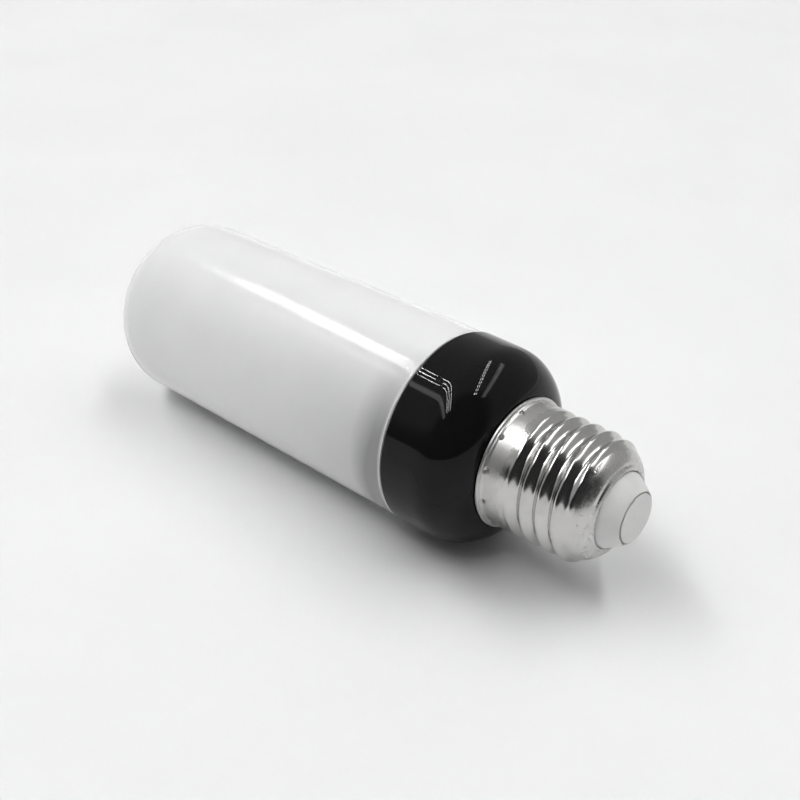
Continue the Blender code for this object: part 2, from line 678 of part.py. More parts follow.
def flex_mesh():
    """Flat flexible board with its lamps raised on it, rolled round the column."""
    stations, rows = flex_stations(), flex_rows()

    def build(shape):
        grid = [[shape.verts.new((across, along, 0.0)) for across, _ in stations] for along, _ in rows]
        lamps = []
        for row in range(len(rows) - 1):
            for column in range(len(stations) - 1):
                face = shape.faces.new((grid[row][column], grid[row][column + 1],
                                        grid[row + 1][column + 1], grid[row + 1][column]))
                if rows[row][1] and stations[column][1]:
                    lamps.append(face)
        back = bmesh.ops.extrude_face_region(shape, geom=shape.faces[:])
        raised = [item for item in back["geom"] if isinstance(item, bmesh.types.BMVert)]
        bmesh.ops.translate(shape, verts=raised, vec=(0.0, 0.0, -FLEX_THICKNESS))
        bmesh.ops.recalc_face_normals(shape, faces=shape.faces[:])
        lifted = bmesh.ops.extrude_discrete_faces(shape, faces=lamps)
        for face in lifted["faces"]:
            bmesh.ops.translate(shape, verts=face.verts[:], vec=(0.0, 0.0, LAMP_HEIGHT))
        bmesh.ops.dissolve_limit(shape, angle_limit=math.radians(1), use_dissolve_boundaries=False,
                                 verts=[], edges=[edge for edge in shape.edges if edge_runs_round(edge)])
        for corner in shape.verts:
            across, along, depth = corner.co
            radius = COLUMN_RADIUS + FIT + FLEX_THICKNESS + depth
            turn = FLEX_SEAM / 2 + across / (COLUMN_RADIUS + FIT)
            corner.co = (radius * math.cos(turn), radius * math.sin(turn), along)
    mesh = mesh_from("led_flex_board", build)
    shade(mesh)
    return mesh


def edge_runs_round(edge):
    """Whether an edge of the flat board runs across it, so that it may be dissolved."""
    first, second = edge.verts
    return abs(first.co.y - second.co.y) < MERGE and abs(first.co.z - second.co.z) < MERGE


def make_top_board(shop, board_white):
    """Round board on the column's head, with one lamp at its centre and a ring of lamps."""
    radius = COLUMN_RADIUS - FIT
    low = COLUMN_TOP_Z + FIT
    high = low + TOP_BOARD_THICKNESS
    profile = [(0.0, high), (radius, high), (radius, low), (0.0, low)]
    board = shop.add("top_led_board", turned("top_led_board", profile, CAP_STEPS), board_white)

    def build(shape):
        sunk = TOP_BOARD_THICKNESS / 2
        size = Matrix.Diagonal((LAMP_WIDTH, LAMP_LENGTH, LAMP_HEIGHT + sunk, 1.0))
        middle = high + (LAMP_HEIGHT - sunk) / 2
        bmesh.ops.create_cube(shape, size=1.0, matrix=Matrix.Translation((0.0, 0.0, middle)) @ size)
        for index in range(TOP_LAMP_COUNT):
            turn = Matrix.Rotation(math.tau * index / TOP_LAMP_COUNT, 4, "Z")
            place = turn @ Matrix.Translation((TOP_LAMP_CIRCLE, 0.0, middle))
            bmesh.ops.create_cube(shape, size=1.0, matrix=place @ size)
    lamps = shop.cutter("top_lamps", mesh_from("top_lamps", build))
    combine(board, lamps, "UNION")
    return board


def board_shoulder_z():
    """Height at which the board's shoulders rest in the collar: on its round wall or its floor."""
    corner = math.hypot(BOARD_HEAD_WIDTH / 2, BOARD_BACK)
    wall = CAVITY_RADIUS - FIT
    reach = min(max((corner - SHOULDER_CENTRE) / wall, 0.0), 1.0)
    return max(SHOULDER_Z - wall * math.sqrt(1.0 - reach * reach), COLLAR_FLOOR_Z + FIT)


def make_driver_board(shop, green):
    """T-shaped board: its tail stands in the cap and its shoulders rest on the collar's wall."""
    shoulder = board_shoulder_z()
    head, tail = BOARD_HEAD_WIDTH / 2, BOARD_TAIL_WIDTH / 2
    outline = [(-tail, BOARD_TAIL_Z), (tail, BOARD_TAIL_Z), (tail, shoulder), (head, shoulder),
               (head, BOARD_TOP_Z), (-head, BOARD_TOP_Z), (-head, shoulder), (-tail, shoulder)]

    def build(shape):
        corners = [shape.verts.new((x, BOARD_FRONT, z)) for x, z in outline]
        face = shape.faces.new(corners)
        pushed = bmesh.ops.extrude_face_region(shape, geom=[face])
        moved = [item for item in pushed["geom"] if isinstance(item, bmesh.types.BMVert)]
        bmesh.ops.translate(shape, verts=moved, vec=(0.0, -BOARD_THICKNESS, 0.0))
        bmesh.ops.recalc_face_normals(shape, faces=shape.faces[:])
    return shop.add("driver_board", mesh_from("driver_board", build), green)


def can_mesh(name, radius, length):
    """Electrolytic can with its rolled crimp near the foot, along Z from its foot up."""
    profile = [
        (0.0, length),
        (radius - CAN_CRIMP, length),
        (radius, length - CAN_CRIMP),
        (radius, 4 * CAN_CRIMP),
        (radius - CAN_CRIMP, 3 * CAN_CRIMP),
        (radius, 2 * CAN_CRIMP),
        (radius, 0.0),
        (0.0, 0.0),
    ]
    return turned(name, profile, SMALL_STEPS)


def make_cans(shop, sleeve):
    """Two electrolytic cans lying on the board's front."""
    seat = BOARD_FRONT + FIT
    tail_z = BOARD_TAIL_Z + FIT
    input_place = Matrix.Translation((INPUT_CAN_X, seat + INPUT_CAN_RADIUS, tail_z))
    shop.add("input_capacitor", can_mesh("input_capacitor", INPUT_CAN_RADIUS, INPUT_CAN_LENGTH),
             sleeve, input_place)
    output_z = BOARD_TOP_Z - OUTPUT_CAN_LENGTH - 5 * FIT
    output_place = Matrix.Translation((OUTPUT_CAN_X, seat + OUTPUT_CAN_RADIUS, output_z))
    shop.add("output_capacitor", can_mesh("output_capacitor", OUTPUT_CAN_RADIUS, OUTPUT_CAN_LENGTH),
             sleeve, output_place)


def make_choke(shop, ferrite, copper):
    """Drum choke standing on the board: a ferrite core with a winding round its waist."""
    seat = BOARD_FRONT + FIT
    middle = (board_shoulder_z() + BOARD_TOP_Z) / 2
    place = Matrix.Translation((CHOKE_X, seat, middle)) @ Matrix.Rotation(-math.pi / 2, 4, "X")
    waist = CHOKE_RADIUS - CHOKE_WAIST
    core = [
        (0.0, CHOKE_LENGTH),
        (CHOKE_RADIUS, CHOKE_LENGTH),
        (CHOKE_RADIUS, CHOKE_LENGTH - CHOKE_FLANGE),
        (waist, CHOKE_LENGTH - CHOKE_FLANGE),
        (waist, CHOKE_FLANGE),
        (CHOKE_RADIUS, CHOKE_FLANGE),
        (CHOKE_RADIUS, 0.0),
        (0.0, 0.0),
    ]
    high, low = CHOKE_LENGTH - CHOKE_FLANGE - FIT, CHOKE_FLANGE + FIT
    outer, inner = CHOKE_RADIUS - FIT, waist + FIT
    winding = turned("choke_winding", [(outer, high), (outer, low), (inner, low), (inner, high)],
                     SMALL_STEPS, closed=True)
    shop.add("choke_core", turned("choke_core", core, SMALL_STEPS), ferrite, place)
    shop.add("choke_winding", winding, copper, place)


def resistor_foot_z():
    """Height of the lower end of the fusible resistor's leads."""
    return BOARD_TAIL_Z + 2 * FIT


def make_fusible_resistor(shop, body):
    """Axial resistor in the live lead, with both its leads."""
    lead = RESISTOR_LEAD_LENGTH
    low, high = lead, lead + RESISTOR_LENGTH
    cap = RESISTOR_LENGTH * 0.15
    waist = RESISTOR_RADIUS * RESISTOR_WAIST
    profile = [
        (0.0, high + lead),
        (RESISTOR_LEAD_RADIUS, high + lead),
        (RESISTOR_LEAD_RADIUS, high),
        (waist, high),
        (RESISTOR_RADIUS, high - cap),
        (waist, high - 2 * cap),
        (waist, low + 2 * cap),
        (RESISTOR_RADIUS, low + cap),
        (waist, low),
        (RESISTOR_LEAD_RADIUS, lead),
        (RESISTOR_LEAD_RADIUS, 0.0),
        (0.0, 0.0),
    ]
    place = Matrix.Translation((RESISTOR_X, BOARD_FRONT + FIT + RESISTOR_RADIUS, resistor_foot_z()))
    shop.add("fusible_resistor", turned("fusible_resistor", profile, TINY_STEPS), body, place)


def make_flat_packages(shop, chip_black):
    """Moulded packages on the board's back, each seated on the copper."""
    middle = (board_shoulder_z() + BOARD_TOP_Z) / 2
    tail_middle = (BOARD_TAIL_Z + board_shoulder_z()) / 2
    rise = SURFACE_RESISTOR_RISE
    packages = (
        ("bridge_rectifier", BRIDGE_SIZE, 0.0, tail_middle),
        ("driver_chip", DRIVER_CHIP_SIZE, DRIVER_CHIP_X, middle),
        ("flame_controller_chip", FLAME_CHIP_SIZE, FLAME_CHIP_X, middle),
        ("surface_resistor_1", SURFACE_RESISTOR_SIZE, -SURFACE_RESISTOR_X, tail_middle + rise),
        ("surface_resistor_2", SURFACE_RESISTOR_SIZE, SURFACE_RESISTOR_X, tail_middle + rise),
        ("surface_resistor_3", SURFACE_RESISTOR_SIZE, -SURFACE_RESISTOR_X, tail_middle - rise),
    )
    for name, size, across, height in packages:
        depth = size[1]
        place = Matrix.Translation((across, BOARD_BACK - FIT - depth / 2, height))
        shop.add(name, box_mesh(name, size, edge=depth * PACKAGE_EDGE), chip_black, place)


def smooth_route(points, step):
    """Points about one step apart on a smooth curve through the route's own points."""
    points = [Vector(point) for point in points]
    ends = [2 * points[0] - points[1]] + points + [2 * points[-1] - points[-2]]
    route = []
    for before, start, stop, after in zip(ends, ends[1:], ends[2:], ends[3:]):
        pieces = max(1, round((stop - start).length / step))
        for piece in range(pieces):
            share = piece / pieces
            route.append(0.5 * (2 * start + (stop - before) * share
                                + (2 * before - 5 * start + 4 * stop - after) * share ** 2
                                + (3 * start - before - 3 * stop + after) * share ** 3))
    return route + [points[-1]]


def make_wire(shop, name, points, radius, sleeve):
    """Insulated wire along a route, as a round tube with filled ends."""
    curve = bpy.data.curves.new(name, "CURVE")
    curve.dimensions = "3D"
    curve.bevel_depth = radius
    curve.bevel_resolution = WIRE_BEVEL_ROWS
    curve.use_fill_caps = True
    route = smooth_route(points, WIRE_STEP)
    spline = curve.splines.new("POLY")
    spline.points.add(len(route) - 1)
    for spot, place in zip(spline.points, route):
        spot.co = (*place, 1.0)
    return shop.add(name, curve, sleeve)


def make_wires(shop, finishes):
    """Live wire to the contact, neutral wire to the shell, and two supply wires to the lamps."""
    shank_top = CONTACT_THICKNESS + SHANK_LENGTH + FIT
    lead_y = BOARD_FRONT + FIT + RESISTOR_RADIUS
    lead_z = resistor_foot_z() - FIT
    middle_z = (shank_top + lead_z) / 2
    live = [(0.0, 0.0, shank_top),
            (0.0, 0.0, middle_z - LIVE_WIRE_SAG),
            (RESISTOR_X / 2, lead_y / 2, middle_z + LIVE_WIRE_SAG / 2),
            (RESISTOR_X, lead_y, lead_z - LIVE_WIRE_RUN),
            (RESISTOR_X, lead_y, lead_z)]
    make_wire(shop, "live_wire", live, LIVE_WIRE_RADIUS, finishes["red_sleeve"])

    shell_inside = THREAD_CREST_RADIUS - THREAD_DEPTH - SHEET - FIT
    back = BOARD_BACK - FIT - THIN_WIRE_RADIUS
    pad_x = BOARD_TAIL_WIDTH / 2 - 2 * THIN_WIRE_RADIUS
    end_x, end_y = shell_inside * math.cos(NEUTRAL_TURN), shell_inside * math.sin(NEUTRAL_TURN)
    end_z = BOARD_TAIL_Z + NEUTRAL_END_HEIGHT
    neutral = [(pad_x, back, BOARD_TAIL_Z + NEUTRAL_PAD_HEIGHT),
               (pad_x, back, BOARD_TAIL_Z + NEUTRAL_BEND_HEIGHT),
               (end_x * NEUTRAL_REACH, end_y * NEUTRAL_REACH, end_z),
               (end_x, end_y, end_z)]
    make_wire(shop, "neutral_wire", neutral, THIN_WIRE_RADIUS, finishes["white_sleeve"])

    front = BOARD_FRONT + FIT + THIN_WIRE_RADIUS
    slot_z = FOOT_TOP_Z + WIRE_SLOT_ABOVE_FOOT + WIRE_SLOT_HEIGHT / 2
    outside = COLUMN_RADIUS + FIT + THIN_WIRE_RADIUS
    flex_foot = FLEX_Z - FIT
    bore = COLUMN_RADIUS - COLUMN_WALL
    supplies = (("led_wire_positive", POSITIVE_PAD_SHARE * bore, SUPPLY_LANE, "red_sleeve"),
                ("led_wire_negative", NEGATIVE_PAD_SHARE * bore, -SUPPLY_LANE, "black_sleeve"))
    for name, pad_x, lane, sleeve in supplies:
        route = [(pad_x, front, BOARD_TOP_Z - 3 * FIT),
                 (pad_x, front, BOARD_TOP_Z + SUPPLY_RISE),
                 (pad_x + SUPPLY_RISE, lane, FOOT_TOP_Z - THIN_WIRE_RADIUS),
                 (bore - SUPPLY_SLOT_APPROACH, lane, slot_z),
                 (bore + COLUMN_WALL / 2, lane, slot_z),
                 (outside, lane, slot_z + SUPPLY_SLOT_APPROACH),
                 (outside, lane, flex_foot)]
        make_wire(shop, name, route, THIN_WIRE_RADIUS, finishes[sleeve])


def lay_down(axis):
    """Lay the axis along X, tipped so that rim and dome both touch height 0, and centre the bulb.

    Collar and diffuser are turned by half a facet, so each lies on a flat of its lowest ring.
    """
    rim_flat = COLLAR_RIM_RADIUS * math.cos(HALF_FACET)
    far_flat = DIFFUSER_FAR_RADIUS * math.cos(HALF_FACET)
    rim_z = JOINT_Z - COLLAR_EDGE
    turn = Matrix.Rotation(-math.pi / 2 - math.atan2(rim_flat - far_flat, DOME_Z - rim_z), 4, "Y")
    rim = turn @ Vector((-rim_flat, 0.0, rim_z))
    tip = turn @ Vector((0.0, 0.0, TIP_Z))
    contact = turn @ Vector((0.0, 0.0, 0.0))
    shift = Vector((-(tip.x + contact.x) / 2, 0.0, -rim.z))
    axis.matrix_world = Matrix.Translation(shift) @ turn


def main():
    """Build every piece on the bulb's axis, then lay the bulb down."""
    empty_scene()
    shop = Workshop()
    opal = finish("opal_diffuser", (0.80, 0.80, 0.79), 0.32)
    black = finish("black_gloss_plastic", (0.012, 0.012, 0.013), 0.12)
    nickel = finish("nickel_plate", (0.78, 0.77, 0.75), 0.14, metallic=1.0)
    cone_white = finish("insulator_white", (0.72, 0.72, 0.71), 0.4)
    contact_tin = finish("tinned_contact", (0.66, 0.66, 0.65), 0.38, metallic=1.0)
    column_white = finish("column_white", (0.82, 0.82, 0.80), 0.5)
    board_white = finish("lamp_board_white", (0.86, 0.85, 0.78), 0.45)
    board_green = finish("board_green", (0.05, 0.22, 0.09), 0.5)
    steel = finish("screw_steel", (0.55, 0.55, 0.55), 0.35, metallic=1.0)
    can_sleeve = finish("can_sleeve", (0.03, 0.03, 0.05), 0.4)
    ferrite = finish("ferrite", (0.06, 0.06, 0.06), 0.7)
    copper = finish("copper_winding", (0.72, 0.32, 0.12), 0.35, metallic=1.0)
    resistor_body = finish("resistor_body", (0.16, 0.33, 0.24), 0.45)
    chip_black = finish("chip_black", (0.02, 0.02, 0.02), 0.55)
    sleeves = {
        "red_sleeve": finish("red_sleeve", (0.55, 0.03, 0.03), 0.45),
        "black_sleeve": finish("black_sleeve", (0.02, 0.02, 0.02), 0.45),
        "white_sleeve": finish("white_sleeve", (0.75, 0.75, 0.73), 0.45),
    }

    shop.add("diffuser", diffuser_mesh(), opal, Matrix.Rotation(HALF_FACET, 4, "Z"))
    make_collar(shop, black)
    make_screw_shell(shop, nickel)
    shop.add("cap_insulator", insulator_mesh(), cone_white)
    shop.add("centre_contact", contact_mesh(), contact_tin)
    make_column(shop, column_white)
    make_foot_screws(shop, steel)
    shop.add("led_flex_board", flex_mesh(), board_white, Matrix.Translation((0.0, 0.0, FLEX_Z)))
    make_top_board(shop, board_white)
    make_driver_board(shop, board_green)
    make_cans(shop, can_sleeve)
    make_choke(shop, ferrite, copper)
    make_fusible_resistor(shop, resistor_body)
    make_flat_packages(shop, chip_black)
    make_wires(shop, sleeves)
    lay_down(shop.axis)
    bpy.context.view_layer.update()


main()
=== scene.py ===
"""Flame effect LED bulb, lying on its side on a pale table under four ceiling strips.

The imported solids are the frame. The five outer pieces are finer surfaces worked out on the
bulb's own axis: a point of that axis has a height, which is 0 on the face of the centre contact
and grows through the cap and the collar to the tip of the diffuser, a radius and a turn. The
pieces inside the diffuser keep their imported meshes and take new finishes.
"""
from __future__ import annotations

import json
import logging
import math
from dataclasses import dataclass
from enum import Enum
from typing import Union

import bpy
import numpy as np
from mathutils import Matrix, Vector

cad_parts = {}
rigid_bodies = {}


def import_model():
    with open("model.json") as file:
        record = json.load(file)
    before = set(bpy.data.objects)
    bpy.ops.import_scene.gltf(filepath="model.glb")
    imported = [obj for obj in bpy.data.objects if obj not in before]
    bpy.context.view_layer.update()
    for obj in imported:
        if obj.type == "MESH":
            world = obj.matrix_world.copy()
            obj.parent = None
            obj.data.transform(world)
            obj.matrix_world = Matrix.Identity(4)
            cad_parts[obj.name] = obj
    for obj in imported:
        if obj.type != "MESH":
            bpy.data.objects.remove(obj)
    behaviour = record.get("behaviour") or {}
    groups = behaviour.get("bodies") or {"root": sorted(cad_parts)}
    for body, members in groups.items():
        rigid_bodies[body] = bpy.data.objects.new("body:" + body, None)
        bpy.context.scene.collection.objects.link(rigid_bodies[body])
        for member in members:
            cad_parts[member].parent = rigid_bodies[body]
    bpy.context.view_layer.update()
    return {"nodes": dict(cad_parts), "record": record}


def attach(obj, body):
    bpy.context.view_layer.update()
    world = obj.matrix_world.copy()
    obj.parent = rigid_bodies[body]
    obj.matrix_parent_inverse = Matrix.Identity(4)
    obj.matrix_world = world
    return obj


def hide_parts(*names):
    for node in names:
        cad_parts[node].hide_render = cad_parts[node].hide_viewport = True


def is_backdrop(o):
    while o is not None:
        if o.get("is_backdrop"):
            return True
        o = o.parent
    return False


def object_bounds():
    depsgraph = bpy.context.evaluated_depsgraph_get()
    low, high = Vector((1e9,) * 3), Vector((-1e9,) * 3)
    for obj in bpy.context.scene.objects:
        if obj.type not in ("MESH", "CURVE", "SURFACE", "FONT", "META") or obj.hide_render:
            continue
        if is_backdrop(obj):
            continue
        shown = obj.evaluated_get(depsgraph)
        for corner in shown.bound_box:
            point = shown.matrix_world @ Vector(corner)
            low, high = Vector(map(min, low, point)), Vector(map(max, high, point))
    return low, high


MM = 0.001
BODY = "root"
LOG = logging.getLogger("flame_bulb")

Pair = tuple[float, float]
Triple = tuple[float, float, float]
Colour = Triple
Socket = bpy.types.NodeSocket
Number = Union[float, Socket]

# Where most values of a noise lie, and the refraction of the plastics.
EVEN: Pair = (0.3, 0.7)
PLASTIC_IOR = 1.5


class Ends(Enum):
    """How a turned surface is closed at the two ends of its profile."""

    POLES = "a point on the axis closes each end"
    JOINED = "the last ring joins the first, as on a ring-shaped wall"


@dataclass(frozen=True)
class BulbAxis:
    """The line that every piece is turned round, and how it lies in the world."""

    cap_length: float = 27.4 * MM
    collar_length: float = 18.0 * MM
    diffuser_length: float = 92.0 * MM
    dome_height: float = 13.6 * MM
    rim_radius: float = 21.15 * MM
    rim_edge: float = 0.35 * MM
    far_radius: float = 20.9 * MM - 0.0056 * 78.4 * MM
    lowest_facets: int = 38

    @property
    def joint(self) -> float:
        """Height of the joint between collar and diffuser."""
        return self.cap_length + self.collar_length

    @property
    def tip(self) -> float:
        """Height of the diffuser's tip."""
        return self.joint + self.diffuser_length

    @property
    def lean(self) -> float:
        """Angle by which the axis is tipped, because it lies on its rim and on its far end."""
        flat = math.cos(math.pi / self.lowest_facets)
        run = (self.tip - self.dome_height) - (self.joint - self.rim_edge)
        return math.atan2((self.rim_radius - self.far_radius) * flat, run)

    @property
    def matrix(self) -> Matrix:
        """Placement of the bulb's axis in the world."""
        turn = Matrix.Rotation(-math.pi / 2 - self.lean, 4, "Y")
        flat = self.rim_radius * math.cos(math.pi / self.lowest_facets)
        rim = turn @ Vector((-flat, 0.0, self.joint - self.rim_edge))
        tip = turn @ Vector((0.0, 0.0, self.tip))
        return Matrix.Translation((-tip.x / 2, 0.0, -rim.z)) @ turn

    def place(self, points: np.ndarray) -> np.ndarray:
        """Carry points from the axis to the world.

        Args:
            points: array whose last axis holds x, y and height on the bulb's axis.

        Returns:
            The world positions, as a flat list of rows.
        """
        matrix = np.array(self.matrix)
        return points.reshape(-1, 3) @ matrix[:3, :3].T + matrix[:3, 3]


@dataclass(frozen=True)
class Turning:
    """Makes a closed mesh from rings of points round the bulb's axis."""

    axis: BulbAxis
    columns: int = 256
    sharp: float = math.radians(40)

    @property
    def turns(self) -> np.ndarray:
        """Angles of the columns round the axis."""
        return np.linspace(0.0, math.tau, self.columns, endpoint=False)

    def rings(self, radius: np.ndarray, height: np.ndarray) -> np.ndarray:
        """Place rows of points round the axis.

        The point at turn t of a row is (r cos t, r sin t, h), where r is the row's radius, or the
        radius of the row at that turn, and h is the row's height.

        Args:
            radius: one radius for each row, or one for each row and turn.
            height: one height for each row.

        Returns:
            Points by row and turn.
        """
        radius = radius if radius.ndim == 2 else np.repeat(radius[:, None], self.columns, axis=1)
        tall = np.repeat(height[:, None], self.columns, axis=1)
        return np.stack((radius * np.cos(self.turns), radius * np.sin(self.turns), tall), axis=-1)

    def quads(self, rows: int, ends: Ends) -> np.ndarray:
        """Number the corners of the faces between neighbouring rings, each ring closed on itself.

        Args:
            rows: number of rings.
            ends: whether the last ring also joins the first.

        Returns:
            Four corner numbers for each face.
        """
        row = np.arange(rows if ends is Ends.JOINED else rows - 1)[:, None]
        column = np.arange(self.columns)[None, :]
        below, beside = (row + 1) % rows, (column + 1) % self.columns
        corners = (row * self.columns + column, below * self.columns + column,
                   below * self.columns + beside, row * self.columns + beside)
        return np.stack(corners, axis=-1).reshape(-1, 4)

    def fan(self, ring: int, pole: int, turned_over: bool) -> np.ndarray:
        """Number the corners of the triangles between one ring and a point on the axis.

        Args:
            ring: number of the ring's first corner.
            pole: number of the point on the axis.
            turned_over: whether the triangles run the other way round.

        Returns:
            Three corner numbers for each triangle.
        """
        column = np.arange(self.columns)
        here, beside = ring + column, ring + (column + 1) % self.columns
        order = (beside, here) if turned_over else (here, beside)
        return np.stack((np.full(self.columns, pole), *order), axis=-1)

    def mesh(self, name: str, rings: np.ndarray, ends: Ends) -> bpy.types.Object:
        """Close the rings into one body whose faces point outwards.

        Args:
            name: name of the new piece.
            rings: points by row and turn.
            ends: how the first and last rings are closed.

        Returns:
            The piece, at the origin, with its place in its mesh.
        """
        rows = rings.shape[0]
        points = self.axis.place(rings)
        faces = self.quads(rows, ends).tolist()
        if ends is Ends.POLES:
            poles = self.axis.place(rings[[0, -1]].mean(axis=1))
            points = np.concatenate((points, poles))
            count = rows * self.columns
            faces += self.fan(0, count, False).tolist()
            faces += self.fan(count - self.columns, count + 1, True).tolist()
        if self.volume(points, faces) < 0.0:
            faces = [face[::-1] for face in faces]
        data = bpy.data.meshes.new(name)
        data.from_pydata(points.tolist(), [], faces)
        data.shade_smooth()
        data.set_sharp_from_angle(angle=self.sharp)
        piece = bpy.data.objects.new(name, data)
        bpy.context.scene.collection.objects.link(piece)
        return piece

    def turned(self, name: str, profile: np.ndarray, ends: Ends) -> bpy.types.Object:
        """Turn a profile, given as rows of (radius, height), into one body."""
        return self.mesh(name, self.rings(profile[:, 0], profile[:, 1]), ends)

    @staticmethod
    def volume(points: np.ndarray, faces: list[list[int]]) -> float:
        """Work out the signed volume, which is negative where the faces point inwards.

        It is a sixth of the sum of the triple products of each triangle's corners.

        Args:
            points: the corners' positions.
            faces: the corner numbers of triangles and quads.

        Returns:
            The volume in cubic metres.
        """
        wedges = np.array([(face[0], face[1], face[2]) for face in faces]
                          + [(face[0], face[2], face[3]) for face in faces if len(face) == 4])
        first, second, third = (points[wedges[:, corner]] for corner in range(3))
        return float(np.einsum("ij,ij->", first, np.cross(second, third)) / 6.0)


def smoothstep(low: float, high: float, value: np.ndarray) -> np.ndarray:
    """Share s of the way from low to high, eased at both ends as s s (3 - 2 s)."""
    share = np.clip((value - low) / (high - low), 0.0, 1.0)
    return share * share * (3.0 - 2.0 * share)


def bow(centre: Pair, radius: float, start: float, end: float, count: int) -> np.ndarray:
    """Points of a circle's arc in the (radius, height) plane.

    The point at angle a is (centre radius + R cos a, centre height + R sin a).

    Args:
        centre: radius and height of the circle's centre.
        radius: the circle's radius R.
        start: first angle in degrees.
        end: last angle in degrees.
        count: number of points.

    Returns:
        Rows of (radius, height).
    """
    angle = np.radians(np.linspace(start, end, count))
    circle = np.stack((np.cos(angle), np.sin(angle)), axis=-1)
    return np.array(centre) + radius * circle


def run(first: Pair, last: Pair, count: int) -> np.ndarray:
    """Evenly spaced points of a straight run in the (radius, height) plane, ends included."""
    return np.linspace(np.array(first), np.array(last), count)


@dataclass
class Wiring:
    """A node tree, with short ways to add nodes and to join them."""

    tree: bpy.types.NodeTree

    def add(self, kind: str, **settings: object) -> bpy.types.Node:
        """Add a node and set its properties.

        Args:
            kind: the node's type, without the word ShaderNode.
            settings: its properties by name.

        Returns:
            The node.
        """
        node = self.tree.nodes.new(f"ShaderNode{kind}")
        for name, value in settings.items():
            setattr(node, name, value)
        return node

    def join(self, source: Socket, target: Socket) -> None:
        """Link two sockets."""
        self.tree.links.new(source, target)

    def maths(self, operation: str, *values: Number) -> Socket:
        """Add one step of arithmetic.

        Args:
            operation: the step's name.
            values: the numbers and sockets that it works on.

        Returns:
            The socket of the result.
        """
        node = self.add("Math", operation=operation)
        for socket, value in zip(node.inputs, values):
            if isinstance(value, (int, float)):
                socket.default_value = value
            else:
                self.join(value, socket)
        return node.outputs["Value"]

    def times(self, first: Number, *others: Number) -> Number:
        """Multiply numbers and sockets.

        Args:
            first: the first factor.
            others: the other factors.

        Returns:
            The socket of the product.
        """
        product = first
        for other in others:
            product = self.maths("MULTIPLY", product, other)
        return product

    def span(self, value: Socket, reach: Pair, first: float = 0.0, last: float = 1.0,
             eased: bool = False) -> Socket:
        """Map a value from a reach to first..last, without going past either.

        Args:
            value: the socket to map.
            reach: the values that become first and last.
            first: the result at the start of the reach.
            last: the result at its end.
            eased: whether the way between them is eased at both ends.

        Returns:
            The socket of the result.
        """
        node = self.add("MapRange", interpolation_type="SMOOTHSTEP" if eased else "LINEAR")
        numbers = {"From Min": reach[0], "From Max": reach[1], "To Min": first, "To Max": last}
        for name, number in numbers.items():
            node.inputs[name].default_value = number
        self.join(value, node.inputs["Value"])
        return node.outputs["Result"]

    def noise(self, place: Socket, scale: float = 1.0, detail: float = 3.0) -> Socket:
        """Add soft noise between 0 and 1.

        Args:
            place: the coordinates that it is read at.
            scale: how many features lie in each unit of them.
            detail: how many finer layers it has.

        Returns:
            The socket of the noise.
        """
        node = self.add("TexNoise")
        node.inputs["Scale"].default_value = scale
        node.inputs["Detail"].default_value = detail
        self.join(place, node.inputs["Vector"])
        return node.outputs["Fac"]

    def part(self, place: Socket, letter: str) -> Socket:
        """Take one coordinate of a place.

        Args:
            place: the place or direction.
            letter: X, Y or Z.

        Returns:
            The socket of that coordinate.
        """
        node = self.add("SeparateXYZ")
        self.join(place, node.inputs["Vector"])
        return node.outputs[letter]

    def toward(self, place: Socket, direction: Triple) -> Socket:
        """Measure how far a place lies towards a fixed direction, as their dot product.

        Args:
            place: the place or direction to measure.
            direction: the fixed direction.

        Returns:
            The socket of the product.
        """
        node = self.add("VectorMath", operation="DOT_PRODUCT")
        node.inputs[1].default_value = direction
        self.join(place, node.inputs[0])
        return node.outputs["Value"]


